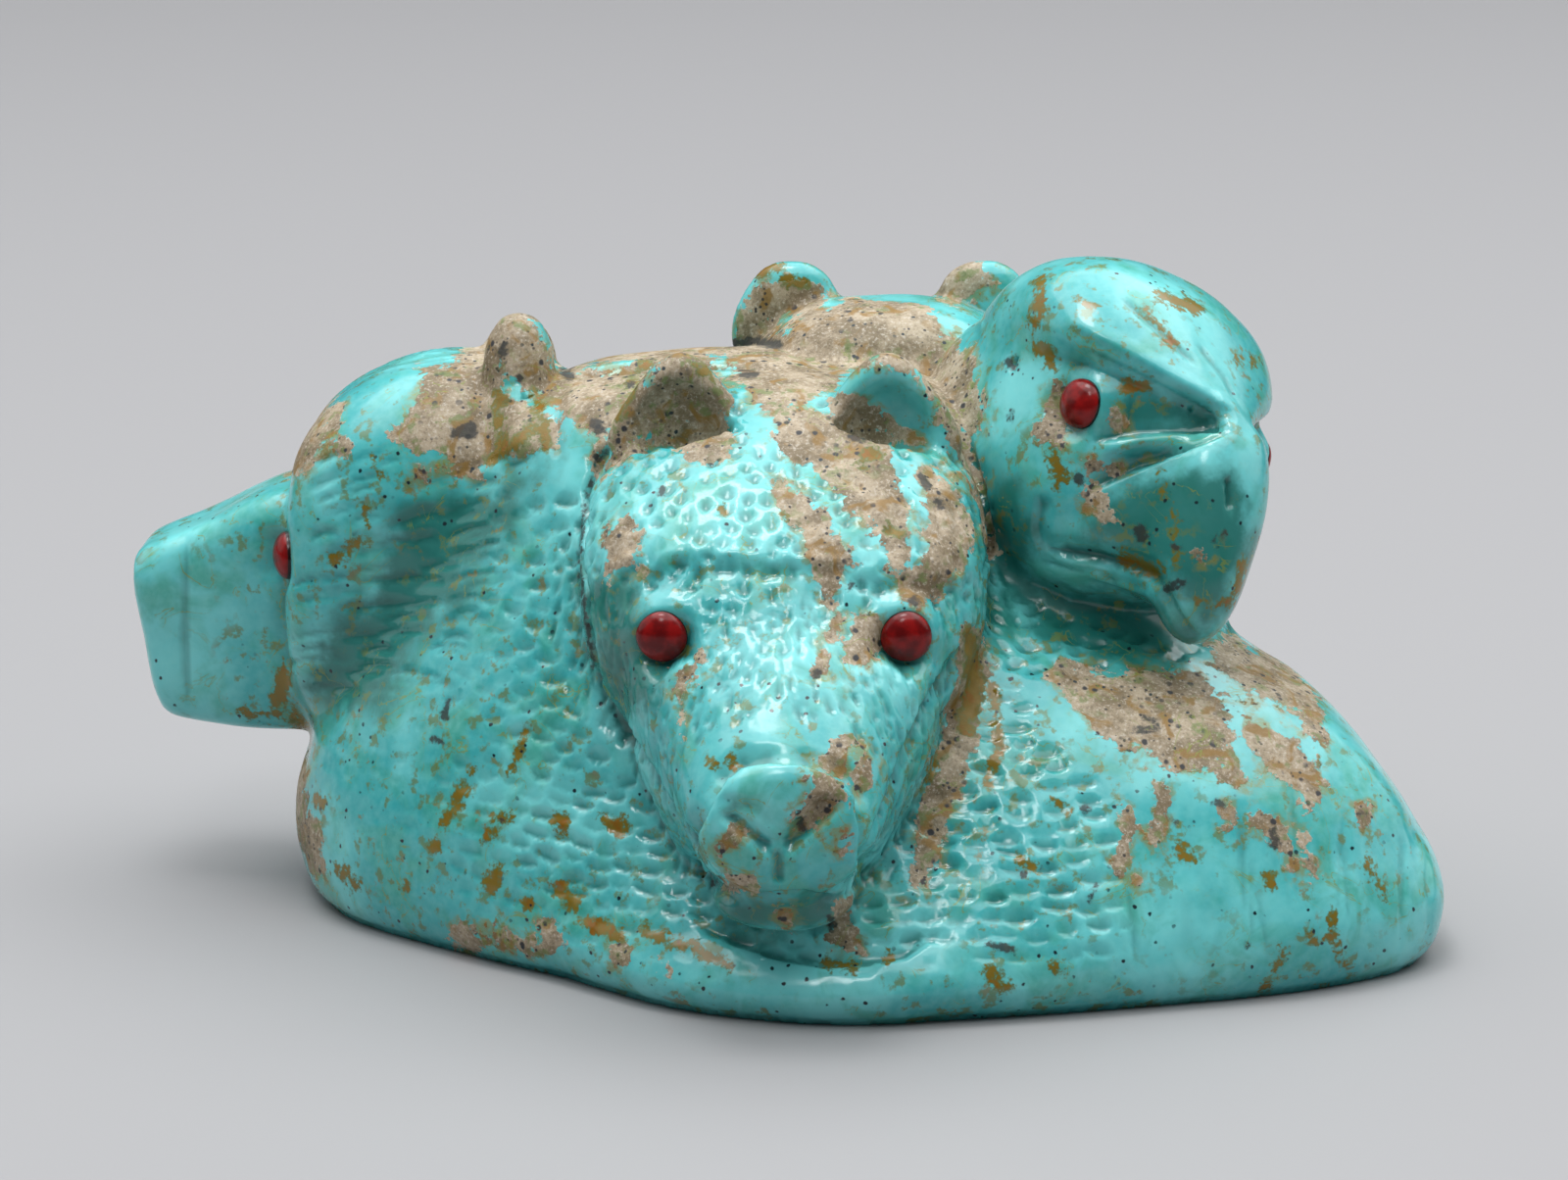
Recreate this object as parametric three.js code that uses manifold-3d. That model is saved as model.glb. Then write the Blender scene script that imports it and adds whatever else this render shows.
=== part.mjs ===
// A small stone carving of four animals that share one body: a bear looks to the front, a wolf to the left,
// a mountain lion to the back and an eagle to the front right. It is cut from one piece of turquoise, with
// coral beads set into drilled holes for eyes. Millimetres, +Z up, standing on its flat underside at z = 0.
// The bear faces -Y, and the long way of the body runs along X.
import * as THREE from 'three';
import { mergeVertices } from 'three/addons/utils/BufferGeometryUtils.js';
import Module from 'manifold-3d';

const wasm = await Module();
wasm.setup();

// The shared body, measured at its foot and up to its flat top.
const BODY_LENGTH = 56.5;
const BODY_DEPTH = 43;
const BODY_HEIGHT = 27.5;
const FOOT_ROUNDING = 1.9;

// The heads.
const BEAR_HEAD_WIDTH = 20;
const WOLF_HEAD_LENGTH = 26;
const EAGLE_HEAD_LENGTH = 22;
const LION_HEAD_WIDTH = 19;

// The eyes. A bead's shank sits in its drilled hole, and its crown stands out of the stone.
const BEAD_DIAMETER = 2.5;
const BEAD_SHANK = 1.6;
const BEAD_CROWN = 0.8;
const BEAD_CLEARANCE = 0.3;

// The incised mouths and nostrils.
const INCISION_WIDTH = 0.7;

const TURQUOISE = new THREE.MeshStandardMaterial({
  name: 'turquoise',
  color: '#43b9bd',
  roughness: 0.25,
  metalness: 0,
});
const CORAL = new THREE.MeshStandardMaterial({
  name: 'coral',
  color: '#9c1a1c',
  roughness: 0.2,
  metalness: 0,
});

const SIDES = { left: 1, right: -1 };

// A smooth line through a few points, each a place along a form and the value there.
function line(...points) {
  const places = points.map(([place]) => place);
  const values = points.map(([, value]) => value);
  const curve = new THREE.CubicInterpolant(places, values, 1);
  return (place) => curve.evaluate(THREE.MathUtils.clamp(place, places[0], places.at(-1)))[0];
}

const asLine = (value) => (typeof value === 'function' ? value : () => value);

// Between an ellipse (power 2) and a rounded box (a higher power).
const softCorner = (value, power) => Math.sign(value) * Math.abs(value) ** (2 / power);

// How far a form has opened at a share of its length, with its tail and its tip as blunt as asked.
function opening(share, tail, tip) {
  const power = share < 0.5 ? tail : tip;
  return Math.max(0, 1 - Math.abs(2 * share - 1) ** power) ** (1 / power);
}

// A ball drawn out along X from `from` to `to`. Lines say how high its top and its underside stand, at
// which height it is widest, and how wide its half is there.
function drawnForm({
  from, to, top, under, side, widest,
  square = 2, tail = 2, tip = 2, around = 22, along = 10,
}) {
  const [topAt, underAt, sideAt] = [top, under, side].map(asLine);
  const widestAt = widest === undefined ? (x) => (topAt(x) + underAt(x)) / 2 : asLine(widest);
  const ball = new THREE.SphereGeometry(1, around, along).rotateZ(-Math.PI / 2);
  const points = ball.attributes.position;
  const point = new THREE.Vector3();
  for (let i = 0; i < points.count; i++) {
    point.fromBufferAttribute(points, i);
    const share = (point.x + 1) / 2;
    const x = THREE.MathUtils.lerp(from, to, share);
    const ring = Math.max(Math.hypot(point.y, point.z), 1e-9);
    const open = ring > 1e-6 ? opening(share, tail, tip) : 0;
    const across = softCorner(point.y / ring, square) * open;
    const upward = softCorner(point.z / ring, square) * open;
    const middle = widestAt(x);
    const reach = upward > 0 ? topAt(x) - middle : middle - underAt(x);
    points.setXYZ(i, x, across * sideAt(x), middle + upward * reach);
  }
  return ball;
}

// The same ball stood on end from `from` to `to` along Z. Lines say how far it reaches forwards (+X), from
// where at its back, and how wide its half is at each height.
function standingForm({ front, back = 0, ...rest }) {
  const [frontAt, backAt] = [front, back].map(asLine);
  const lying = drawnForm({ ...rest, top: (z) => -backAt(z), under: (z) => -frontAt(z) });
  return lying.rotateY(-Math.PI / 2);
}

// A closed geometry, moved to its place, as a solid that can be joined and cut.
function solid(geometry, ...places) {
  const bare = geometry.clone();
  bare.deleteAttribute('normal');
  bare.deleteAttribute('uv');
  for (const place of places) bare.applyMatrix4(place);
  const merged = mergeVertices(bare, 1e-4);
  const mesh = new wasm.Mesh({
    numProp: 3,
    vertProperties: merged.attributes.position.array,
    triVerts: new Uint32Array(merged.index.array),
  });
  return new wasm.Manifold(mesh);
}

const joined = (solids) => solids.reduce((whole, one) => whole.add(one));

function geometryOf(whole) {
  const mesh = whole.getMesh();
  const positions = new Float32Array(mesh.numVert * 3);
  for (let i = 0; i < mesh.numVert; i++) {
    const start = i * mesh.numProp;
    positions.set(mesh.vertProperties.subarray(start, start + 3), i * 3);
  }
  const geometry = new THREE.BufferGeometry();
  geometry.setAttribute('position', new THREE.BufferAttribute(positions, 3));
  geometry.setIndex(new THREE.BufferAttribute(new Uint32Array(mesh.triVerts), 1));
  geometry.computeVertexNormals();
  return geometry;
}

const shift = (x, y, z) => new THREE.Matrix4().makeTranslation(x, y, z);

// Heads are drawn on a grid of squares: X runs out of the face, Y to the head's own left, Z up. One that
// is measured up from the foot counts this many squares to the body's flat top.
const UPRIGHT_SQUARE_COUNT = 27.5;
const UPRIGHT_SQUARE = BODY_HEIGHT / UPRIGHT_SQUARE_COUNT;

// The frame of a head. `at` is a place in the body, in shares of its sizes. The head turns to `facing`,
// drops its nose and rolls to its left, all in degrees.
function headFrame({ square, upright = square, at, facing, drop = 0, roll = 0 }) {
  const angles = [roll, drop, facing].map(THREE.MathUtils.degToRad);
  const place = new THREE.Vector3(at[0] * BODY_LENGTH, at[1] * BODY_DEPTH, at[2] * BODY_HEIGHT);
  const turned = new THREE.Euler(...angles, 'ZYX');
  const frame = new THREE.Matrix4().makeRotationFromEuler(turned).setPosition(place);
  return frame.scale(new THREE.Vector3(square, square, upright));
}

// The place where a look out from a point inside a head leaves that head's own solid.
const INNER_SKIN = new THREE.MeshBasicMaterial({ side: THREE.BackSide });
function onSurface({ frame, own }, at, look) {
  const outward = new THREE.Vector3(...look).transformDirection(frame);
  const ray = new THREE.Raycaster(new THREE.Vector3(...at).applyMatrix4(frame), outward);
  const [hit] = ray.intersectObject(new THREE.Mesh(geometryOf(own), INNER_SKIN));
  return { point: hit.point, outward };
}

// A round line to cut into a head, along a curve through places of its grid that is looked up on its
// surface step by step.
function incision(head, look, through, steps = 7) {
  const rough = new THREE.CatmullRomCurve3(through.map((at) => new THREE.Vector3(...at)));
  const places = rough.getPoints(steps).map((at) => onSurface(head, at.toArray(), look).point);
  const radius = INCISION_WIDTH / 2;
  const round = new THREE.EllipseCurve(0, 0, radius, radius).getPoints(5).slice(1);
  const extrudePath = new THREE.CatmullRomCurve3(places);
  const settings = { steps, bevelEnabled: false, extrudePath };
  return solid(new THREE.ExtrudeGeometry(new THREE.Shape(round), settings));
}

// The foot's outline, in shares of the body's length and depth, from the left point round the front.
const FOOT_OUTLINE = [
  [-0.442, 0.04], [-0.412, -0.113], [-0.325, -0.235], [-0.205, -0.362], [-0.095, -0.485], [0.04, -0.54],
  [0.18, -0.515], [0.335, -0.465], [0.485, -0.395], [0.57, -0.3], [0.575, -0.16], [0.53, 0.02],
  [0.43, 0.21], [0.27, 0.37], [0.09, 0.45], [-0.12, 0.43], [-0.31, 0.315], [-0.405, 0.19],
];
const HUB = [0.035, -0.023];

// How far out the wall stands at each height above the foot's rounding, in shares of the foot's reach from
// the hub, by direction in degrees.
const WALL_HEIGHTS = [0, 0.06, 0.17, 0.3, 0.41, 0.5, 0.6, 0.75, 0.9, 0.98];
const WALLS = {
  0: [1, 1.005, 0.97, 0.9, 0.82, 0.7, 0.52, 0.37, 0.28, 0.18],
  40: [1, 1, 0.97, 0.91, 0.85, 0.77, 0.66, 0.5, 0.37, 0.26],
  90: [1, 1, 0.96, 0.9, 0.85, 0.8, 0.74, 0.64, 0.54, 0.42],
  140: [1, 1, 0.965, 0.91, 0.86, 0.81, 0.76, 0.68, 0.59, 0.5],
  180: [1, 1.01, 1, 0.965, 0.915, 0.86, 0.8, 0.72, 0.63, 0.5],
  225: [1, 0.99, 0.955, 0.895, 0.845, 0.79, 0.73, 0.63, 0.49, 0.36],
  262: [0.99, 0.92, 0.8, 0.68, 0.62, 0.57, 0.52, 0.44, 0.35, 0.26],
  284: [1, 0.96, 0.86, 0.74, 0.64, 0.55, 0.47, 0.38, 0.29, 0.22],
  305: [1, 0.985, 0.925, 0.82, 0.71, 0.59, 0.46, 0.33, 0.25, 0.18],
  330: [1, 1, 0.955, 0.875, 0.76, 0.58, 0.42, 0.29, 0.22, 0.16],
  360: [1, 1.005, 0.97, 0.9, 0.82, 0.7, 0.52, 0.37, 0.28, 0.18],
};

// The rings of the body from the foot up: its height, and how far out it stands in a direction.
function bodyRings(roundingSteps = 3) {
  const rings = [];
  for (let step = 0; step < roundingSteps; step++) {
    const angle = ((step / roundingSteps) * Math.PI) / 2;
    const height = FOOT_ROUNDING * (1 - Math.cos(angle));
    const inset = FOOT_ROUNDING * (1 - Math.sin(angle));
    rings.push({ height, standAt: (direction, reach) => 1 - inset / reach });
  }
  const directions = Object.keys(WALLS).map(Number);
  WALL_HEIGHTS.forEach((share, row) => {
    const height = THREE.MathUtils.lerp(FOOT_ROUNDING, BODY_HEIGHT, share);
    rings.push({ height, standAt: line(...directions.map((turn) => [turn, WALLS[turn][row]])) });
  });
  return rings;
}

// A lathe's rings, pushed out from the hub to the foot's outline and the walls.
function bodyMound(around = 48) {
  const foot = new THREE.CatmullRomCurve3(
    FOOT_OUTLINE.map(([x, y]) => new THREE.Vector3(x * BODY_LENGTH, y * BODY_DEPTH)),
    true,
  );
  const hub = new THREE.Vector3(HUB[0] * BODY_LENGTH, HUB[1] * BODY_DEPTH);
  const rings = bodyRings();
  const profile = rings.map(({ height }) => new THREE.Vector2(1, height));
  profile.unshift(new THREE.Vector2(0, 0));
  profile.push(new THREE.Vector2(0, BODY_HEIGHT));
  const mound = new THREE.LatheGeometry(profile, around).rotateX(Math.PI / 2);
  const points = mound.attributes.position;
  for (let i = 0; i < points.count; i++) {
    const ring = rings[(i % profile.length) - 1];
    const turn = (Math.floor(i / profile.length) % around) / around;
    const spoke = foot.getPoint(turn).sub(hub);
    const direction = (THREE.MathUtils.radToDeg(Math.atan2(spoke.y, spoke.x)) + 360) % 360;
    spoke.multiplyScalar(ring ? ring.standAt(direction, spoke.length()) : 0).add(hub);
    points.setXY(i, spoke.x, spoke.y);
  }
  return solid(mound);
}

// The bear, twenty squares to the width of its head: cranium, muzzle, nose pad, chin and cupped ears.
function bearHead() {
  const square = BEAR_HEAD_WIDTH / 20;
  const frame = headFrame({ square, upright: UPRIGHT_SQUARE, at: [0, 0, 0], facing: -90 });
  const forms = [
    standingForm({
      from: 3, to: 28, around: 30, along: 15, square: 2.7, tail: 3, tip: 4,
      front: line([3, 12], [9, 16], [13, 18], [16, 18.8], [19, 18.4], [22, 16.6], [25, 13], [28, 8.5]),
      side: line([3, 4], [9, 6.8], [12, 8.3], [15, 9.6], [18, 10.1], [21, 10.1], [24, 9.7], [28, 6.8]),
    }),
    drawnForm({
      from: 9, to: 25.2, around: 24, along: 12, tip: 8,
      top: line([9, 21], [14, 21], [17, 20], [20, 17.9], [22.5, 15.8], [25.2, 13.8]),
      widest: line([9, 16], [17, 16], [20, 14], [25.2, 10.4]),
      under: line([9, 3.5], [18, 4.4], [25.2, 6.6]),
      side: line([9, 8.2], [14, 8.4], [17, 7.6], [20, 6], [22.5, 5], [25.2, 4.3]),
    }),
    drawnForm({ from: 23.4, to: 26.2, top: 14.1, under: 7.2, side: 4.1, tail: 3, tip: 3, along: 7 }),
    drawnForm({ from: 16, to: 23.9, top: 8, under: 4.7, side: 3.6, tip: 3, around: 14, along: 6 }),
  ];
  let own = joined(forms.map((form) => solid(form, frame)));
  for (const way of Object.values(SIDES)) {
    const earPlace = shift(7.6, way * 5.1, 0);
    const ear = standingForm({
      from: 22, to: 29.9, around: 14, along: 9, tip: 2.6, front: 1.1, back: -1.3,
      side: line([22, 4.5], [25, 4], [27, 3.2], [28.5, 2.4], [29.9, 1.6]),
    });
    const cup = standingForm({
      from: 24.2, to: 29.1, around: 12, along: 6, tip: 2.3, front: 2.4, back: 0,
      side: line([24.2, 3.2], [27, 2.6], [29.1, 1.3]),
    });
    own = own.add(solid(ear, earPlace, frame)).subtract(solid(cup, earPlace, frame));
  }
  return { frame, own };
}

// The wolf, twenty-six squares from its nape to its nose: cranium, blunt square muzzle and ears. The front
// of its muzzle leans back below the nose. Its head is tilted, so its left ear stands higher.
function wolfHead() {
  const square = WOLF_HEAD_LENGTH / 26;
  const frame = headFrame({ square, upright: UPRIGHT_SQUARE, at: [-0.2125, 0.081, 0], facing: 173 });
  const [lean, noseHeight] = [0.17, 17];
  const leaning = new THREE.Matrix4().makeShear(0, 0, 0, 0, lean, 0).setPosition(-lean * noseHeight, 0, 0);
  const forms = [
    drawnForm({
      from: -6, to: 12.9, around: 28, along: 14, square: 2.9, tip: 9,
      top: line([-6, 26.8], [3, 27.5], [7, 27.2], [10, 26], [12.9, 23.8]),
      under: line([-6, 12], [3, 10], [8, 8.6], [12.9, 8.1]),
      side: line([-6, 6.5], [4, 7.8], [10, 7.9], [12.9, 7.4]),
    }),
    drawnForm({
      from: 8, to: 21.7, around: 24, square: 5, tail: 3, tip: 12,
      top: line([8, 22], [13, 20.8], [17, 19], [21.7, 17.2]),
      under: line([8, 8], [18, 7.9], [21.7, 8.3]),
      side: line([8, 5], [13, 4.6], [17, 4.1], [21.7, 3.7]),
    }).applyMatrix4(leaning),
  ];
  const ears = { left: { to: 30.3, at: 1 }, right: { to: 28.7, at: 2 } };
  for (const [side, way] of Object.entries(SIDES)) {
    const { to, at } = ears[side];
    const ear = standingForm({
      from: 22, to, around: 14, along: 9, tip: 3,
      front: line([22, 2.3], [27, 2], [30.3, 1.6]),
      back: line([22, -2.6], [27, -1.9], [30.3, -1.6]),
      side: line([22, 2.8], [27, 2.2], [30.3, 1.6]),
    });
    forms.push(ear.applyMatrix4(shift(at, way * 3, 0)));
  }
  return { frame, own: joined(forms.map((form) => solid(form, frame))) };
}

// The eagle, twenty-two squares from its nape to the front of its beak: crown with its brow ridge, face,
// beak and neck.
function eagleHead() {
  const square = EAGLE_HEAD_LENGTH / 22;
  const frame = headFrame({ square, at: [0.283, -0.02, 0.967], facing: -55, drop: 8, roll: -20 });
  const forms = [
    drawnForm({
      from: -8.3, to: 10.7, around: 26, along: 14, square: 2.1, tip: 1.7,
      top: line([-8.3, 3.5], [-4, 6], [0, 6.8], [4, 6.4], [8, 4.6], [10.7, 2.3]),
      widest: line([-8.3, 0], [0, 3], [6, 2.2], [10.7, 1.5]),
      under: line([-8.3, -6], [-2, -3.4], [2, -0.4], [6, 1.1], [8.6, 0.9], [9.8, -1], [10.7, -1]),
      side: line([-8.3, 5.9], [-2, 6.5], [2, 7.1], [5, 7.3], [8, 6], [10.7, 2.8]),
    }),
    drawnForm({
      from: -8, to: 10.6, around: 24, along: 12, square: 2.7, tip: 2.9,
      top: line([-8, 4.5], [-2, 6], [2, 5], [5, 3.4], [10.6, 3.2]),
      under: line([-8, -9.6], [0, -10.2], [7, -9.8], [10.6, -8.6]),
      side: line([-8, 5.8], [0, 6.5], [5, 6.5], [8, 5.1], [10.6, 2.6]),
    }),
    drawnForm({
      from: 1, to: 13.9, along: 14, square: 2.3, tail: 2.4, tip: 3.4,
      top: line([1, -5.4], [5.5, -4.4], [8.5, -1], [9.5, 1.3], [10.6, 1.9], [12.2, 0.3], [13.9, -3.4]),
      under: line([1, -8.6], [8.5, -8.3], [10.4, -8.5], [12.2, -10], [13.2, -10], [13.9, -8.8]),
      side: line([1, 5.9], [6, 5.5], [10, 3.2], [12.5, 2.5], [13.9, 1.4]),
    }),
  ];
  const neckFrame = headFrame({ square, upright: UPRIGHT_SQUARE, at: [0.25, -0.02, 0], facing: -55 });
  const neck = standingForm({
    from: 4, to: 30, around: 24, along: 9, tip: 2.4,
    front: line([4, 13], [12, 10.5], [18, 5.8], [24, 6], [30, 6]),
    back: line([4, -15], [12, -13], [20, -9.6], [26, -10], [30, -11.5]),
    side: line([4, 13], [12, 11], [18, 8], [30, 6.2]),
  });
  return { frame, own: joined(forms.map((form) => solid(form, frame))), neck: solid(neck, neckFrame) };
}

// The mountain lion, nineteen squares to the width of its head: cranium, short muzzle and rounded ears.
function lionHead() {
  const square = LION_HEAD_WIDTH / 19;
  const frame = headFrame({ square, upright: UPRIGHT_SQUARE, at: [0.0956, 0.0465, 0], facing: 90 });
  const forms = [
    standingForm({
      from: 4, to: 29.4, around: 28, along: 13, square: 2.5, tail: 3, tip: 3.6,
      front: line([4, 13], [10, 16.5], [14, 18.5], [18, 19], [22, 18], [25, 16], [29.4, 12.5]),
      side: line([4, 4.5], [10, 7], [15, 9], [20, 9.5], [24, 9], [27, 8], [29.4, 6.8]),
    }),
    drawnForm({
      from: 10, to: 22.6, square: 2.6, tip: 5,
      top: line([10, 20], [17, 18], [22.6, 15.6]),
      under: line([10, 6], [22.6, 8.4]),
      side: line([10, 7], [17, 6.2], [22.6, 5]),
    }),
  ];
  for (const way of Object.values(SIDES)) {
    const ear = standingForm({
      from: 24, to: 30.8, around: 14, along: 8, tip: 3, front: 1.2, back: -1.2,
      side: line([24, 3.8], [28, 3], [30.8, 2]),
    });
    forms.push(ear.applyMatrix4(shift(10, way * 5, 0)));
  }
  return { frame, own: joined(forms.map((form) => solid(form, frame))) };
}

const heads = { bear: bearHead(), wolf: wolfHead(), eagle: eagleHead(), lion: lionHead() };

// Where each head is incised, for both of its sides: `look` leads out to the surface from the places.
const INCISIONS = [
  { animal: 'bear', look: [1, 0, 0], through: [[20, 0.3, 10.8], [20, 1.5, 11.9], [20, 2.9, 12.2]] },
  { animal: 'bear', look: [0.5, 1, -0.15], through: [[24.2, 1, 8.2], [21, 1, 7.8], [18, 1, 8.4]] },
  { animal: 'eagle', look: [0.2, 1, -0.1], through: [[10, 1, -7.9], [7.5, 1, -8], [4.6, 1, -7.9]] },
  { animal: 'lion', look: [0.2, 1, 0], through: [[21, 1, 10.6], [17.5, 1, 10.2]] },
];

// Where each eye is drilled, found the same way. The eagle's are uneven.
const EYES = {
  bear: { left: [14, 5.5, 18.1], right: [14, 5.5, 18.1], look: [1, 0.1, 0] },
  wolf: { left: [12.4, 5.3, 17.9], right: [12.4, 5, 17.4], look: [0.95, 0.3, 0] },
  eagle: { left: [7, 3, -0.2], right: [5, 3, 0], look: [0.1, 1, -0.1] },
  lion: { left: [12, 5, 18.6], right: [12, 5, 18.6], look: [1, 0.15, 0] },
};

const mirrored = ([x, y, z], way) => [x, way * y, z];

// A body turned about Z from radius and height pairs, its first and last ones on the axis.
function turned(profile, around = 12) {
  const points = profile.map(([radius, height]) => new THREE.Vector2(radius, height));
  return new THREE.LatheGeometry(points, around).rotateX(Math.PI / 2);
}

// A bead about its own axis: a straight shank below z = 0 and a domed crown above it.
function bead(steps = 3) {
  const radius = BEAD_DIAMETER / 2;
  const profile = [[0, -BEAD_SHANK], [radius, -BEAD_SHANK]];
  for (let step = 0; step < steps; step++) {
    const angle = ((step / steps) * Math.PI) / 2;
    profile.push([radius * Math.cos(angle), BEAD_CROWN * Math.sin(angle)]);
  }
  return turned([...profile, [0, BEAD_CROWN]]);
}

// The drilled hole that takes a bead.
function socket() {
  const radius = BEAD_DIAMETER / 2 + BEAD_CLEARANCE;
  const floor = -BEAD_SHANK - BEAD_CLEARANCE;
  const mouth = BEAD_CROWN + BEAD_CLEARANCE;
  return turned([[0, floor], [radius, floor], [radius, mouth], [0, mouth]]);
}

const beads = [];
for (const [animal, { look, ...places }] of Object.entries(EYES)) {
  for (const [side, way] of Object.entries(SIDES)) {
    const seat = onSurface(heads[animal], mirrored(places[side], way), mirrored(look, way));
    const eye = new THREE.Mesh(bead(), CORAL);
    eye.name = `${animal}_${side}_eye`;
    eye.position.copy(seat.point);
    eye.quaternion.setFromUnitVectors(new THREE.Vector3(0, 0, 1), seat.outward);
    eye.updateMatrix();
    beads.push(eye);
  }
}

const incisions = [];
for (const { animal, look, through } of INCISIONS) {
  for (const way of Object.values(SIDES)) {
    const places = through.map((place) => mirrored(place, way));
    incisions.push(incision(heads[animal], mirrored(look, way), places));
  }
}

// The whole stone, with its underside ground flat.
const below = new THREE.BoxGeometry(2 * BODY_LENGTH, 2 * BODY_DEPTH, BODY_HEIGHT);
below.translate(0, 0, -BODY_HEIGHT / 2);
const sockets = beads.map((eye) => solid(socket(), eye.matrix));
let whole = joined([bodyMound(), heads.eagle.neck, ...Object.values(heads).map(({ own }) => own)]);
for (const tool of [solid(below), ...incisions, ...sockets]) whole = whole.subtract(tool);

const stone = new THREE.Mesh(geometryOf(whole), TURQUOISE);
stone.name = 'turquoise_carving';

const carving = new THREE.Group();
carving.add(stone, ...beads);

export default carving;
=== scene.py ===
# %% [markdown]
# # A turquoise carving of four animals
# A bear, a wolf, an eagle and a mountain lion share one low body, cut from one piece of turquoise that still
# holds fields and veins of its tan host rock. The solids of the frame give the form, and this lesson gives it a
# carved and polished skin, one stone material and coral beads for eyes. The frame comes first, and its box is
# kept, because the finished skin has to stay inside it.

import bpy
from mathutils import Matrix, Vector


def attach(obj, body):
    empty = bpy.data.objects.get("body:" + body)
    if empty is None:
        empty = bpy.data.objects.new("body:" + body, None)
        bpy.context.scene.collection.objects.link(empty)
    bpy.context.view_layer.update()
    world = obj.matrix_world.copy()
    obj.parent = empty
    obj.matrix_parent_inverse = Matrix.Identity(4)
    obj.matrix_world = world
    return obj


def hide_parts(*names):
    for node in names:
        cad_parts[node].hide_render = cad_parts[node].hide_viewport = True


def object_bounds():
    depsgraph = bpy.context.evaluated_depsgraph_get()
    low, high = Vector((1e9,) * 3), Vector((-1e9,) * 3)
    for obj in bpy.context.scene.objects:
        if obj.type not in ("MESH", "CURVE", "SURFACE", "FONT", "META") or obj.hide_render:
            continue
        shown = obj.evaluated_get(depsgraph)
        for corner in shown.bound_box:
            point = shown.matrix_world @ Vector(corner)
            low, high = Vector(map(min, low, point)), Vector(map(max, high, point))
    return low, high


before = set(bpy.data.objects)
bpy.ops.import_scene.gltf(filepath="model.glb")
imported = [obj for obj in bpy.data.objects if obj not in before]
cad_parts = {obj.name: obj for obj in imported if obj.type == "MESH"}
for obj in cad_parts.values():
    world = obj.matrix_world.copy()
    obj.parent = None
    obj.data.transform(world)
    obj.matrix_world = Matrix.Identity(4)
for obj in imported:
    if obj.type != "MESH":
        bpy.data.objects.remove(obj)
cad_box = [list(corner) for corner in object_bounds()]
print("the frame's box is", cad_box)

# %% [markdown]
# The mesh is worked on as plain arrays in millimetres, as a carver thinks, while Blender's scene is in metres.

# %% The modules, the unit and three helpers
import math
import random

import bpy
import numpy as np
from mathutils import Matrix, Vector, noise
from mathutils.bvhtree import BVHTree
from mathutils.kdtree import KDTree

MM = 0.001


def new_object(name, data):
    piece = bpy.data.objects.new(name, data)
    bpy.context.collection.objects.link(piece)
    return piece


def select_only(piece):
    bpy.ops.object.select_all(action="DESELECT")
    piece.select_set(True)
    bpy.context.view_layer.objects.active = piece


def merged_copy(node, name):
    """A solid of the frame as a piece of its own, with its loose triangles joined."""
    piece = new_object(name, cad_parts[node].data.copy())
    select_only(piece)
    bpy.ops.object.mode_set(mode="EDIT")
    bpy.ops.mesh.select_all(action="SELECT")
    bpy.ops.mesh.remove_doubles(threshold=0.001 * MM)
    bpy.ops.object.mode_set(mode="OBJECT")
    return piece


# %% [markdown]
# The camera is set first, because marks that are read off the picture are laid on the stone by looking through
# it. A long lens gives the mild perspective of a close product picture, from a little above the table.

# %% The camera
PICTURE_WIDTH, PICTURE_HEIGHT = 1600, 1204
LENS, SENSOR = 135, 36
# How far the picture is from the lens, in pixels.
FAR = LENS / SENSOR * PICTURE_WIDTH
CAMERA_DISTANCE = 300
CAMERA_ELEVATION = math.radians(14)
LOOKED_AT = Vector((0, 0, 16))

camera_data = bpy.data.cameras.new("camera")
camera_data.lens, camera_data.sensor_width = LENS, SENSOR
camera_data.clip_start = 0.01
camera = new_object("camera", camera_data)
camera.rotation_euler = (math.radians(90) - CAMERA_ELEVATION, 0, 0)
towards_camera = Vector((0, -math.cos(CAMERA_ELEVATION), math.sin(CAMERA_ELEVATION)))
camera.location = (LOOKED_AT + CAMERA_DISTANCE * towards_camera) * MM
bpy.context.scene.camera = camera


def sight(across, down):
    """The eye and the direction in which it sees a place of the picture, in millimetres."""
    look = Vector((across - PICTURE_WIDTH / 2, PICTURE_HEIGHT / 2 - down, -FAR)).normalized()
    return camera.location / MM, camera.rotation_euler.to_matrix() @ look


# %% [markdown]
# Each eye is a bead in a drilled hole. A bead's own mesh says where it sits: the round foot of its shank is
# its largest flat, and the axis runs from there out through the crown.

# %% Where the beads sit
BEAD_RADIUS = 1.25
SHANK_LENGTH = 1.6
ANIMALS = ("bear", "wolf", "eagle", "lion")
BEADS = [f"{animal}_{side}_eye" for animal in ANIMALS for side in ("left", "right")]


def bead_seat(node):
    """The middle of a bead's rim and the direction it looks in, in millimetres."""
    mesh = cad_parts[node].data
    flats = {}
    for face in mesh.polygons:
        way = tuple(round(c, 2) for c in face.normal)
        flats.setdefault(way, []).append(face)
    foot = max(flats.values(), key=lambda faces: sum(face.area for face in faces))
    middle = sum((face.center * face.area for face in foot), Vector()) / sum(face.area for face in foot)
    outwards = -foot[0].normal
    return middle / MM + outwards * SHANK_LENGTH, outwards


seats = {node: bead_seat(node) for node in BEADS}
for node, (rim, _) in seats.items():
    print(node, "sits at", [round(c, 2) for c in rim])

# %% [markdown]
# The stone starts as a merged copy of its solid. Short plugs fill its drilled holes, so that the skin can run up
# to the beads, and one voxel remesh turns everything into even squares, fine enough to take a punch mark.

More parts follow.
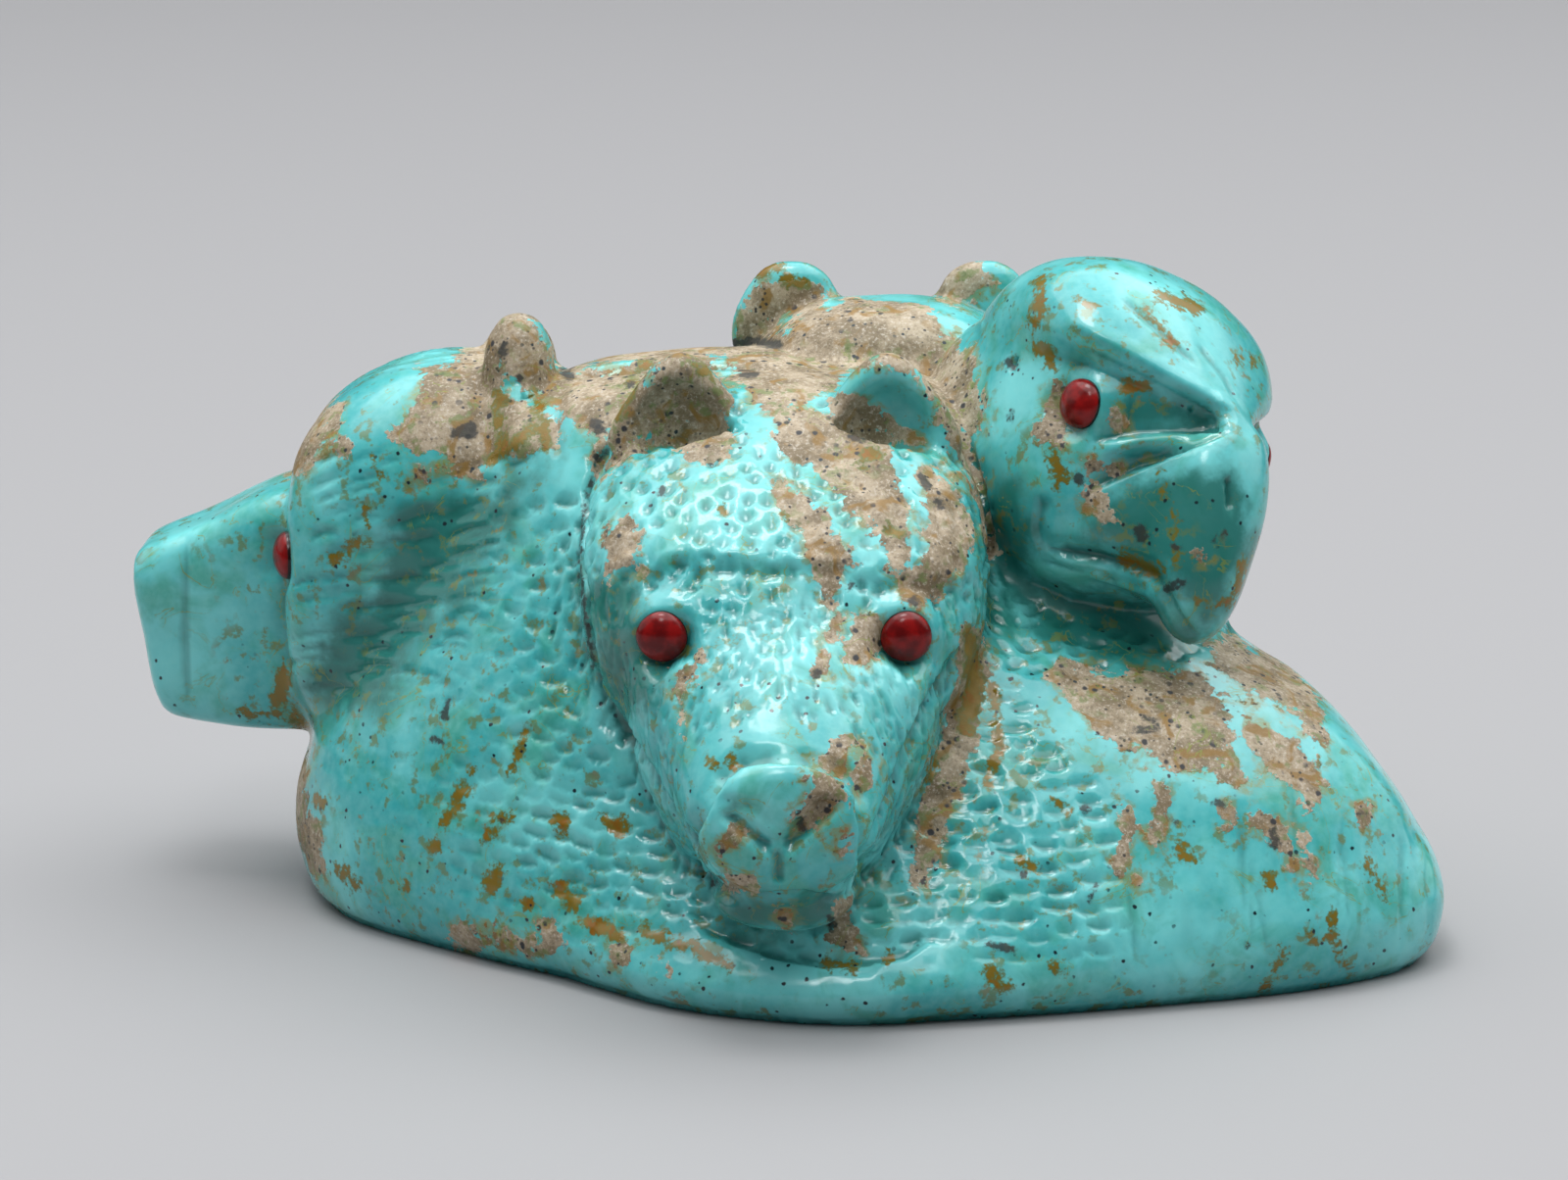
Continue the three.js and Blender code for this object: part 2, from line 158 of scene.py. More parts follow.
# %% The stone as an even skin
SKIN_SQUARE = 0.2
PLUG_RADIUS = BEAD_RADIUS + 0.31
PLUG_LENGTH = SHANK_LENGTH + 0.5

stone = merged_copy("turquoise_carving", "carved_stone")
bpy.ops.object.shade_smooth_by_angle(angle=math.radians(32))
solid_points = np.array([v.co for v in stone.data.vertices]) / MM
solid_corners = np.array([face.vertices for face in stone.data.polygons])
corner_normals = np.array([n.vector for n in stone.data.corner_normals]).reshape(-1, 3, 3)
solid_skin = BVHTree.FromPolygons(solid_points.tolist(), solid_corners.tolist())

for rim, outwards in seats.values():
    bpy.ops.mesh.primitive_cylinder_add(
        vertices=48, radius=PLUG_RADIUS * MM, depth=PLUG_LENGTH * MM,
        location=(rim - outwards * PLUG_LENGTH / 2) * MM,
        rotation=outwards.to_track_quat("Z", "Y").to_euler(),
    )
    plug = bpy.context.active_object
    select_only(stone)
    plug.select_set(True)
    bpy.ops.object.join()

squares = stone.modifiers.new("even_squares", "REMESH")
squares.mode, squares.voxel_size, squares.adaptivity = "VOXEL", SKIN_SQUARE * MM, 0
select_only(stone)
bpy.ops.object.modifier_apply(modifier=squares.name)
print("the skin has", len(stone.data.vertices), "points")

# %% [markdown]
# The skin is lifted out of the mesh as arrays. Three things are asked of it again and again: what a point's
# neighbours are like, which way it faces and where it lies about a bead. A tree finds points near a place.

# %% The skin as arrays
count = len(stone.data.vertices)
skin = np.empty(count * 3)
stone.data.vertices.foreach_get("co", skin)
skin = skin.reshape(-1, 3) / MM
links = np.empty(len(stone.data.edges) * 2, int)
stone.data.edges.foreach_get("vertices", links)
first, second = links.reshape(-1, 2).T
faces = np.array([face.vertices for face in stone.data.polygons])
neighbour_count = np.maximum(np.bincount(first, minlength=count) + np.bincount(second, minlength=count), 1)


def around(values):
    """The mean of the neighbours' values, at each point."""
    columns = values.reshape(count, -1)
    summed = [
        np.bincount(first, column[second], count) + np.bincount(second, column[first], count)
        for column in columns.T
    ]
    return (np.array(summed) / neighbour_count).T.reshape(values.shape)


def facing(points):
    """The outward direction of the skin at each point."""
    a, b, c, d = (points[faces[:, k]] for k in range(4))
    square_normals = np.cross(c - a, d - b)
    total = np.zeros((count, 3))
    for k in range(4):
        for axis in range(3):
            total[:, axis] += np.bincount(faces[:, k], square_normals[:, axis], count)
    return total / np.maximum(np.linalg.norm(total, axis=1), 1e-12)[:, None]


def tree_of(points):
    """A tree that finds the nearest of some points."""
    tree = KDTree(len(points))
    for index, point in enumerate(points):
        tree.insert(point, index)
    tree.balance()
    return tree


def about_bead(rim, outwards):
    """Each point's height above the middle of a bead's rim and its distance from the bead's axis, in mm."""
    offset = skin - np.array(rim)
    height = offset @ np.array(outwards)
    return height, np.linalg.norm(offset - height[:, None] * np.array(outwards), axis=1)


# %% [markdown]
# The solids are faceted. Each point of the skin lies on a flat facet whose corners know the direction of the
# round form, so the point is moved half of the way to the corners' tangent planes: on a round form that is the
# height of the arc above its chord. Over the plugs the skin is drawn tight like a drumhead instead.

# %% The facets rounded
ARC_SHARE = 0.5
DRUMHEAD_MARGIN, DRUMHEAD_DEPTH, DRUMHEAD_ROUNDS = 0.3, 1.6, 90
UNDERSIDE_HEIGHT, UNDERSIDE_FACING = 0.2, -0.7


def rounded(points):
    result = points.copy()
    for index, point in enumerate(points):
        place, _, face, _ = solid_skin.find_nearest(point)
        corners = solid_points[solid_corners[face]]
        normals = corner_normals[face]
        one, two, offset = corners[1] - corners[0], corners[2] - corners[0], np.array(place) - corners[0]
        dots = one @ one, one @ two, two @ two, offset @ one, offset @ two
        area = dots[0] * dots[2] - dots[1] ** 2
        if area < 1e-12:
            continue
        v = (dots[2] * dots[3] - dots[1] * dots[4]) / area
        w = (dots[0] * dots[4] - dots[1] * dots[3]) / area
        shares = np.clip((1 - v - w, v, w), 0, 1)
        heights = ((corners - place) * normals).sum(1)
        result[index] += ARC_SHARE * (shares * heights) @ normals
    return result


near_plug = np.zeros(count, bool)
for seat in seats.values():
    height, reach = about_bead(*seat)
    near_plug |= (reach < PLUG_RADIUS + DRUMHEAD_MARGIN) & (np.abs(height) < DRUMHEAD_DEPTH)
skin = np.where(near_plug[:, None], skin, rounded(skin))
for _ in range(DRUMHEAD_ROUNDS):
    skin[near_plug] = around(skin)[near_plug]
underside = (skin[:, 2] < UNDERSIDE_HEIGHT) & (facing(skin)[:, 2] < UNDERSIDE_FACING)
print("rounded; the underside has", int(underside.sum()), "points")

# %% [markdown]
# Where two forms meet, the carver's wheel leaves a soft hollow. Points that lie below their neighbours' mean are
# lifted to it, round after round, which fills the inner corners and leaves the ridges standing. It goes on for
# longest at the eagle's nape and at the bear's brow. A few rounds of even smoothing take the last steps off.

# %% The inner corners softened
CORNER_ROUNDS, LONG_ROUNDS, EVEN_ROUNDS = 9, 70, 6
NAPE, NAPE_REACH = (11.3, -3.5, 27.5), 5.2
BROW, BROW_REACH = (0, -17.2, 19.4), (8.5, 3.2, 2.8)
# The outward directions are taken anew after this many rounds.
FRESH_EVERY = 5


def softened(points, rounds, where=1.0):
    for turn in range(rounds):
        if turn % FRESH_EVERY == 0:
            outwards = facing(points)
        lift = ((around(points) - points) * outwards).sum(1)
        points = points + (where * np.maximum(lift, 0))[:, None] * outwards
    return points


def smoothed(points, rounds, weight=1.0):
    for _ in range(rounds):
        points = points + 0.5 * weight * (around(points) - points)
    return points


at_nape = np.linalg.norm(skin - NAPE, axis=1) < NAPE_REACH
at_brow = (np.abs(skin - BROW) < BROW_REACH).all(1)
skin = softened(skin, CORNER_ROUNDS)
skin = softened(skin, LONG_ROUNDS, (at_nape | at_brow).astype(float))
skin = smoothed(skin, EVEN_ROUNDS)
skin[underside, 2] = 0

# %% [markdown]
# A gentle wave, a few hundredths of a millimetre high, keeps the polish from looking like moulded plastic.

# %% The waves of hand grinding
WAVE_LENGTH, WAVE_HEIGHT = 3.2, 0.11
wave = np.array([noise.noise(Vector(point) / WAVE_LENGTH) for point in skin])
skin = skin + (WAVE_HEIGHT * wave)[:, None] * facing(skin)
skin[underside, 2] = 0

# %% [markdown]
# The big cuts follow: brow, nose, ridges and creases. Each is a stroke along a few places, given as they are
# seen in the picture and looked up on the skin through the camera, so a stroke always lies on the stone.

# %% The tools for long strokes
SKIN_STEP = 5
# A longer step, in millimetres, is a jump from one form to the next and no part of a stroke.
LONGEST_STEP = 2.5
# Cuts start this far outside a bead's radius, are full after this width, and are held back up to this height.
GUARD_START, GUARD_WIDTH, GUARD_HEIGHT = 0.25, 0.9, 1.0


def see(across, down):
    """The place on the skin that is seen there, or None."""
    eye, look = sight(across, down)
    place, _, _, _ = carved_skin.ray_cast(eye, look)
    return None if place is None else np.array(place)


def seen_line(*places):
    """A run of points on the skin through places of the picture, about SKIN_STEP apart in the picture."""
    run = []
    for (x0, y0), (x1, y1) in zip(places, places[1:]):
        steps = max(1, int(math.hypot(x1 - x0, y1 - y0) / SKIN_STEP))
        for step in range(steps):
            run.append(see(x0 + (x1 - x0) * step / steps, y0 + (y1 - y0) * step / steps))
    run.append(see(*places[-1]))
    return np.array([place for place in run if place is not None]).reshape(-1, 3)


def measured(run, reach):
    """For the points of the skin near a run: their indices, distances, sides and shares along the run."""
    low, high = run.min(0) - reach, run.max(0) + reach
    near = np.nonzero(((skin > low) & (skin < high)).all(1))[0]
    best = np.full(len(near), np.inf)
    side = np.zeros(len(near))
    along = np.zeros(len(near))
    lengths = np.linalg.norm(np.diff(run, axis=0), axis=1)
    starts = np.concatenate([[0], np.cumsum(lengths)])
    for k, (a, b) in enumerate(zip(run, run[1:])):
        if lengths[k] < 1e-6 or lengths[k] > LONGEST_STEP:
            continue
        way = (b - a) / lengths[k]
        offset = skin[near] - a
        run_share = np.clip(offset @ way, 0, lengths[k])
        apart = offset - run_share[:, None] * way
        distance = np.linalg.norm(apart, axis=1)
        closer = distance < best
        best[closer] = distance[closer]
        along[closer] = (starts[k] + run_share[closer]) / starts[-1]
        side[closer] = (np.cross(way, apart[closer]) * outward[near[closer]]).sum(1)
    within = best < reach
    return near[within], best[within], side[within], along[within]


def taper(along, ends=0.15):
    """Fades a stroke in and out at its ends."""
    return np.clip(np.minimum(along, 1 - along) / ends, 0, 1) ** 0.7


def cut(places, left, right, depth, ends=0.15):
    """A groove along places of the picture, or a raised ridge where the depth is negative. Seen along the
    stroke, its wall on the left is as wide as the first width, in millimetres, and the right one as the
    second, so a narrow wall is a steep one."""
    near, distance, side, along = measured(seen_line(*places), max(left, right))
    share = np.minimum(distance / np.where(side > 0, left, right), 1)
    relief[near] -= depth * np.cos(share * math.pi / 2) ** 2 * taper(along, ends)


def away_from_seats():
    """From 0 at the rim of a bead to 1 a millimetre away from it, so that no cut lays a shank bare."""
    free = np.ones(count)
    for seat in seats.values():
        height, reach = about_bead(*seat)
        share = np.clip((reach - BEAD_RADIUS - GUARD_START) / GUARD_WIDTH, 0, 1)
        free = np.where(np.abs(height) < GUARD_HEIGHT, np.minimum(free, share), free)
    return free


def settle():
    """Lays the relief into the skin and renews what is measured on it."""
    global skin, relief, outward, carved_skin
    skin = skin + (relief * away_from_seats())[:, None] * outward
    relief = np.zeros(count)
    outward = facing(skin)
    carved_skin = BVHTree.FromPolygons(skin.tolist(), faces.tolist())


relief = np.zeros(count)
outward = facing(skin)
settle()

# %% [markdown]
# The bear: its forehead overhangs the eyes, a crack runs down the left side of the head, the pad of the nose is
# a button of its own, and the two nostrils run into a short upright line. Each stroke has its places in the
# picture, its two widths and its depth, and some say how soon they fade at their ends.

# %% The bear's face
BEAR_STROKES = {
    "brow": ([(614, 598), (650, 588), (700, 581), (750, 580), (800, 584), (850, 590), (910, 598), (1000, 608)],
             1.1, 2.8, 0.36),
    "crack": ([(622, 455), (611, 466), (600, 500), (597, 520), (592, 577), (596, 620), (603, 664), (612, 700)],
              0.8, 0.4, 0.55),
    "left_cheek": ([(608, 690), (651, 767), (686, 825), (707, 867)], 0.6, 1.3, 0.4),
    "right_temple": ([(985, 440), (1001, 500), (1010, 560), (1006, 620)], 0.4, 0.7, 0.4),
    "right_cheek": ([(1000, 640), (955, 705), (923, 770), (893, 847), (873, 907)], 1.3, 0.6, 0.4),
    "over_nose": ([(708, 866), (712, 843), (727, 810), (740, 792), (757, 780), (780, 775), (823, 777), (860, 792),
                   (875, 810), (882, 850), (878, 880), (870, 912)], 1.4, 0.32, 0.5, 0.05),
    "under_nose": ([(708, 868), (717, 890), (738, 908), (777, 914), (820, 912), (853, 917), (870, 912)],
                   0.4, 1.2, 0.35),
    "left_nostril": ([(738, 826), (758, 846), (788, 870)], 0.9, 0.6, 0.55),
    "right_nostril": ([(852, 820), (826, 842), (798, 870)], 0.6, 0.9, 0.55),
    "lip": ([(793, 866), (795, 902)], 0.5, 0.5, 0.36),
    "chin": ([(706, 940), (750, 960), (800, 976), (840, 983), (885, 980), (923, 973), (958, 950)], 1.7, 0.4, 0.4),
}
for stroke in BEAR_STROKES.values():
    cut(*stroke)

# %% [markdown]
# The eagle: a sharp brow and a ridge under the eye run together above the beak, the beak stands up from the
# face with a crisp edge, and the lower lip catches the light below the mouth. A small pit lies behind the eye.

# %% The eagle's face
EAGLE_STROKES = {
    "brow": ([(1085, 326), (1117, 342), (1160, 365), (1209, 393), (1255, 417), (1266, 434)], 1.0, 0.35, -0.22),
    "under_brow": ([(1100, 354), (1117, 362), (1160, 382), (1209, 407), (1252, 428)], 0.3, 0.7, 0.2),
    "below_eye": ([(1112, 448), (1163, 441), (1219, 437), (1254, 433)], 2.3, 0.35, 0.42),
    "crown": ([(1143, 301), (1194, 347), (1222, 372)], 0.3, 0.5, 0.14),
    "before_crown": ([(1222, 350), (1250, 385), (1262, 408)], 0.3, 0.5, 0.12),
    "eye_ridge": ([(1120, 461), (1163, 454), (1219, 450), (1251, 438)], 0.8, 0.5, -0.22),
    "beak_edge": ([(1108, 503), (1125, 494), (1160, 476), (1210, 456), (1258, 438)], 1.3, 0.28, 0.5),
    "nostril": ([(1253, 486), (1255, 520)], 0.3, 0.3, 0.3),
    "mouth": ([(1066, 564), (1117, 572), (1155, 583), (1190, 598)], 1.2, 0.3, 0.55),
    "lower_lip": ([(1070, 578), (1117, 586), (1150, 597), (1186, 610)], 0.35, 0.8, -0.2),
    "below_mouth": ([(1188, 598), (1203, 626), (1220, 650)], 0.3, 0.9, 0.25),
    "mouth_corner": ([(1064, 505), (1058, 540), (1068, 570)], 0.9, 0.5, 0.25),
    "pit": ([(1032, 371), (1038, 371)], 0.5, 0.5, 0.6, 0.01),
}
for stroke in EAGLE_STROKES.values():
    cut(*stroke)

# %% [markdown]
# The wolf is plainer: a band across its muzzle, and an ear that runs down the side of the head as a flat column.
# Its cheek runs into the shared body in a broad soft valley, ground with many light rounds along its line.

# %% The wolf's face
VALLEY = [(500, 462), (478, 500), (440, 567), (380, 650), (325, 728)]
VALLEY_REACH, VALLEY_ROUNDS = 3.2, 110
WOLF_STROKES = {
    "muzzle_band": ([(190, 545), (188, 640), (192, 735)], 0.5, 0.5, 0.13),
    "ear_column": ([(528, 392), (530, 430), (532, 470)], 1.7, 1.7, -0.55),
    "before_column": ([(492, 385), (492, 430), (498, 470)], 0.6, 0.9, 0.2),
    "behind_column": ([(572, 390), (566, 430), (570, 468)], 0.9, 0.6, 0.2),
}
near, distance, _, _ = measured(seen_line(*VALLEY), VALLEY_REACH)
in_valley = np.zeros(count)
in_valley[near] = np.cos(distance / VALLEY_REACH * math.pi / 2)
skin = smoothed(skin, VALLEY_ROUNDS, in_valley[:, None])
settle()
for stroke in WOLF_STROKES.values():
    cut(*stroke)
settle()

# %% [markdown]
# The fur is cut with thousands of small punch marks. Their rows are laid out like circles of latitude around a
# point inside each animal, and every mark is found by looking outwards from that point until the skin is met.
# So one helper dresses the body and the heads, whichever way they face. The eagle's head stays smooth.

# %% The tools for punch marks
chance = random.Random(7)
# How far the skin is taken to be at the start of a row and where it is missed, and a row's smallest radius.
FIRST_REACH, MISSED_REACH, SMALLEST_CIRCLE = 12.0, 10, 2
# The scoop of a mark is deepest at this share of its height. Where the skin faces the pole so squarely that less
# than this is left of the direction to it, there is no mark.
DEEPEST_AT, LEAST_UP = 0.3, 0.2
# Each head as balls of a middle point and a radius, in millimetres.
HEADS = {
    "bear": [((0, -9, 17.5), 11.6), ((0, -18, 12), 7.6), ((0, -23, 10.5), 5.6)],
    "wolf": [((-17, 4.2, 18.5), 10.4), ((-23, 5, 15.5), 9.6), ((-29, 5.7, 13.2), 7)],
    "eagle": [((16, -1.5, 25), 8.8), ((20, -6.5, 22.5), 7.5), ((23, -10.5, 19), 5.6)],
    "lion": [((5.4, 11, 18), 11.4), ((5.4, 20, 12.5), 7.2)],
}


def in_head(place):
    for head, balls in HEADS.items():
        if any(math.dist(place, middle) < radius for middle, radius in balls):
            return head
    return None


def marks(middle, pole, row, spacing, latitudes, wanted, jitter=0.2):
    """Looks outwards from a point in rows of latitude about a pole and yields each mark's place, outward
    direction and direction to the pole. The row and the spacing are in millimetres."""
    middle, pole = Vector(middle), Vector(pole).normalized()
    side = pole.orthogonal().normalized()
    front = pole.cross(side)
    latitude, odd = latitudes[0], 0
    while latitude < latitudes[1]:
        reach = FIRST_REACH
        angle = 0.5 * odd * spacing / reach
        reaches = []
        while angle < 2 * math.pi:
            turn = angle + chance.uniform(-jitter, jitter) * spacing / reach
            level = math.radians(latitude) + chance.uniform(-jitter, jitter) * row / reach
            look = (side * math.cos(turn) + front * math.sin(turn)) * math.cos(level) + pole * math.sin(level)
            place, normal, _, distance = carved_skin.ray_cast(middle, look)
            reach = distance or MISSED_REACH
            reaches.append(reach)
            if place is not None and wanted(place, distance):
                up = pole - normal * pole.dot(normal)
                if up.length > LEAST_UP:
                    yield place, normal, up.normalized()
            angle += spacing / max(reach * math.cos(level), SMALLEST_CIRCLE)
        latitude += math.degrees(row / (sum(reaches) / len(reaches)))
        odd = 1 - odd


def punch(place, normal, up, width, height, depth):
    """One scoop of a gouge: it enters at the top and ends in a steep curved wall at the bottom. No two are
    quite the same, and each stands a little askew."""
    width, height = width * chance.uniform(0.8, 1.2), height * chance.uniform(0.8, 1.2)
    depth *= chance.uniform(0.45, 1.2)
    up = Matrix.Rotation(chance.uniform(-0.25, 0.25), 3, normal) @ up
    near = [(index, distance) for _, index, distance in skin_tree.find_range(place, max(width, height) / 2)]
    if not near:
        return
    index = np.array([i for i, _ in near])
    offset = skin[index] - np.array(place)
    across = offset @ np.array(normal.cross(up)) / (width / 2)
    rise = offset @ np.array(up) / (height / 2)
    room = np.sqrt(np.clip(1 - across ** 2, 0, 1))
    share = np.clip((rise + room) / np.maximum(2 * room, 1e-6), 0, 1)
    scoop = np.where(share < DEEPEST_AT, share / DEEPEST_AT, (1 - share) / (1 - DEEPEST_AT))
    dent[index] = np.maximum(dent[index], depth * room * np.clip(scoop, 0, 1) ** 0.8)


def score(run, width, depth, ends=0.3):
    """A long shallow line with a round bottom, along a run of points on the skin."""
    if len(run) < 3:
        return
    near, distance, _, along = measured(run, width)
    line = depth * np.cos(distance / width * math.pi / 2) ** 2 * taper(along, ends)
    dent[near] = np.maximum(dent[near], line)


skin_tree = tree_of(skin)
dent = np.zeros(count)

# %% [markdown]
# The body's marks are crescents that overlap like scales. They are crisp beside the bear's cheeks and worn
# almost away on the low mound at the left and above the foot. The apron at the right and the flat top have none.

# %% The fur on the body
BODY_MIDDLE = (2, -1, 1)
FUR_LOWEST, FUR_HIGHEST = 1.8, 23
APRON_START, APRON_END, APRON_HEIGHT = -51, 20, 14.5
# On the mound at the left and above the foot: where no depth would be left, how soon all of it is, and the least.
MOUND_END, MOUND_FADE, MOUND_LEAST, MOUND_BACK = -19.5, 9, 0.16, 4
FOOT_END, FOOT_FADE, FOOT_LEAST = 1.2, 4.5, 0.15


def on_body(place, distance):
    if in_head(place) or place.z < FUR_LOWEST or place.z > FUR_HIGHEST:
        return False
    turn = math.degrees(math.atan2(place.y - BODY_MIDDLE[1], place.x - BODY_MIDDLE[0]))
    return not (APRON_START < turn < APRON_END and place.z < APRON_HEIGHT)


def unworn(place):
    """How much of a mark's depth is left after years of handling, from 0 to 1."""
    on_mound = min(1, max(MOUND_LEAST, (place.x - MOUND_END) / MOUND_FADE)) if place.y < MOUND_BACK else 1
    return on_mound * min(1, max(FOOT_LEAST, (place.z - FOOT_END) / FOOT_FADE))


punched = 0
for place, normal, up in marks(BODY_MIDDLE, (0, 0, 1), 1.08, 1.4, (3, 84), on_body):
    punch(place, normal, up, 1.45, 1.0, 0.23 * unworn(place))
    punched += 1
print("the body has", punched, "punch marks")

# %% [markdown]
# The apron is fluted instead: broad shallow facets run down the slope, with finer lines between them. Where
# the picture shows it they are placed in its pixels, and round the corner they follow the slope.

# %% The flutes on the apron
# Where the picture shows the apron: how far across, and where the flutes begin, bend and end.
APRON_LEFT, APRON_RIGHT = 1150, 1462
FLUTE_TOPS, FLUTE_BENDS, FLUTE_FEET = (790, 905), 925, (950, 1000)
across = APRON_LEFT
while across < APRON_RIGHT:
    top = (across + chance.uniform(-14, 4), chance.uniform(*FLUTE_TOPS))
    middle = (across + chance.uniform(-3, 5), FLUTE_BENDS)
    foot = (across + chance.uniform(-4, 10), chance.uniform(*FLUTE_FEET))
    broad = chance.random() < 0.65
    score(seen_line(top, middle, foot), 1.4 if broad else 0.6, chance.uniform(0.08, 0.18))
    across += chance.uniform(5, 12)

turn, last_turn = -8.0, 60
FLUTE_STEPS, OUTSIDE = 13, 60
while turn < last_turn:
    top, bottom = chance.uniform(6, 12), chance.uniform(0.8, 2)
    bend = chance.uniform(0, 6)
    run = []
    for share in np.arange(FLUTE_STEPS + 1) / FLUTE_STEPS:
        way = math.radians(turn + bend * share)
        look = Vector((-math.cos(way), -math.sin(way), 0))
        start = Vector((*BODY_MIDDLE[:2], top + (bottom - top) * share)) - look * OUTSIDE
        place, _, _, _ = carved_skin.ray_cast(start, look)
        if place is not None:
            run.append(np.array(place))
    score(np.array(run), chance.uniform(0.4, 0.9), chance.uniform(0.06, 0.15))
    turn += chance.uniform(1.5, 3.5)

# %% [markdown]
# The heads: upright drops on the bear's and the lion's foreheads, finer strokes that flow towards the nose
# below them, and long soft curves over the wolf's cheeks.

# %% The fur on the heads
def on(head):
    return lambda place, distance: distance < 16 and in_head(place) == head


for place, normal, up in marks((0, -9, 15), (0, 0, 1), 1.3, 1.12, (0, 82), on("bear"), jitter=0.34):
    if place.z > 19:
        punch(place, normal, up, 0.76, 1.2, 0.22)
for place, normal, up in marks((0, -9, 15), (0, 0, 1), 1.15, 0.62, (-40, 32), on("bear"), jitter=0.4):
    if place.z < 20 and place.y > -22.6:
        punch(place, normal, up, 0.46, 1.6, 0.15)
for place, normal, up in marks((5.4, 11, 15), (0, 0, 1), 1.3, 1.08, (-25, 80), on("lion")):
    if place.y < 22:
        punch(place, normal, up, 0.74, 1.2, 0.15)
for place, normal, up in marks((-15, 4.3, 16), (-1, 0, 0), 1.9, 0.62, (-60, 38), on("wolf")):
    if place.y > 2:
        punch(place, normal, up, 0.6, chance.uniform(2.4, 3.8), 0.12)
# The wolf's cheek in the picture: how far across and down, and its slanting right edge.
CHEEK_ACROSS, CHEEK_DOWN, CHEEK_EDGE, CHEEK_SLANT = (312, 500), (470, 705), 560, 0.42
for _ in range(110):
    across, down = chance.uniform(*CHEEK_ACROSS), chance.uniform(*CHEEK_DOWN)
    below = down - CHEEK_DOWN[0]
    if across > CHEEK_EDGE - CHEEK_SLANT * below:
        continue
    half, rise, slope = chance.uniform(14, 34), chance.uniform(2, 7), 0.35 - 0.0016 * below
    arc = [(across + half * t, down - slope * half * t - rise * (1 - t * t)) for t in (-1, -0.5, 0, 0.5, 1)]
    score(seen_line(*arc), chance.uniform(0.3, 0.5), chance.uniform(0.06, 0.15))

relief -= dent
settle()

# %% [markdown]
# A bead's crown starts level with the stone, so the stone is dressed to the rim all round: where it falls away
# beside a bead it is drawn up as a low collar, and where it stands too high it is ground down.

# %% The stone dressed to the beads
COLLAR_SUNK, COLLAR_START, COLLAR_WIDTH, COLLAR_HEIGHT = 0.04, 0.1, 0.8, 1.3
for rim, outwards in seats.values():
    height, reach = about_bead(rim, outwards)
    share = np.clip(1 - (reach - BEAD_RADIUS - COLLAR_START) / COLLAR_WIDTH, 0, 1) * (np.abs(height) < COLLAR_HEIGHT)
    skin = skin + (share ** 1.5 * (-COLLAR_SUNK - height))[:, None] * np.array(outwards)
settle()

# %% [markdown]
# The hollows get painted shade, so the material wants to know how deep each point lies. The skin is compared
# with a smoothed copy of itself, once narrowly for the marks and once widely for the folds between the animals.

# %% How deep each point lies
def depth_below(rounds, full_depth):
    flat = smoothed(skin, rounds)
    return np.clip(((flat - skin) * outward).sum(1) / full_depth, -1, 1)


# Painted shade: the deeper a point lies below its smoothed copy, the darker the material paints it.
painted_hollow_shade = np.clip(0.55 * depth_below(6, 0.05) + 0.75 * depth_below(60, 0.5), 0, 1)

# %% [markdown]
# The host rock shows as fields with crisp, wandering borders. Each is drawn as an outline in the picture,
# and every point of the skin that the picture shows stores how many millimetres it lies inside the nearest one.
# Points on the hidden sides take the value of the nearest shown point, less their distance from it, so a field
# rounds off behind an edge. The material turns the distance into a border and roughens it.

# %% Which points the picture shows, and where
# A point may lie this far behind the first skin that is met, in millimetres, and face this little away, and
# still count as shown.
SPARE, GRAZING = 0.3, 0.05
eye = np.array(camera.location) / MM
turned = (skin - eye) @ np.array(camera.rotation_euler.to_matrix())
PIXEL = CAMERA_DISTANCE / FAR

looks = skin - eye
lengths = np.linalg.norm(looks, axis=1)
looks /= lengths[:, None]
shown = np.zeros(count, bool)
for index in np.nonzero((outward * looks).sum(1) < GRAZING)[0]:
    distance = carved_skin.ray_cast(eye, looks[index])[3]
    shown[index] = distance is not None and distance > lengths[index] - SPARE
shown_tree = tree_of(skin[shown])
nearest_shown = np.cumsum(shown) - 1
apart_from_shown = np.zeros(count)
for index in np.nonzero(~shown)[0]:
    _, nearest_shown[index], apart_from_shown[index] = shown_tree.find(skin[index])
seen_across = PICTURE_WIDTH / 2 - (turned[:, 0] / turned[:, 2] * FAR)[shown]
seen_down = PICTURE_HEIGHT / 2 + (turned[:, 1] / turned[:, 2] * FAR)[shown]
print("the picture shows", int(shown.sum()), "of", count, "points")

# %% [markdown]
# Fields are drawn as outlines and spots as chains of round dabs. Both are measured in pixels of the picture and
# then carried over to all points of the skin, in millimetres.

# %% The tools for fields and spots
OUTSIDE_ALL = -200.0
RAG_LENGTH, RAG_HEIGHT = 2.8, 2.6


def beside(x0, y0, x1, y1):
    """For each shown point, its share along a line in the picture and its distance from it, in pixels."""
    length = max(math.dist((x0, y0), (x1, y1)), 1e-6)
    offset_x, offset_y = seen_across - x0, seen_down - y0
    share = np.clip((offset_x * (x1 - x0) + offset_y * (y1 - y0)) / length ** 2, 0, 1)
    return share, np.hypot(offset_x - share * (x1 - x0), offset_y - share * (y1 - y0))


def all_round(values):
    """Values of the shown points, in pixels inside, as millimetres inside for all points."""
    return (values * PIXEL)[nearest_shown] - apart_from_shown


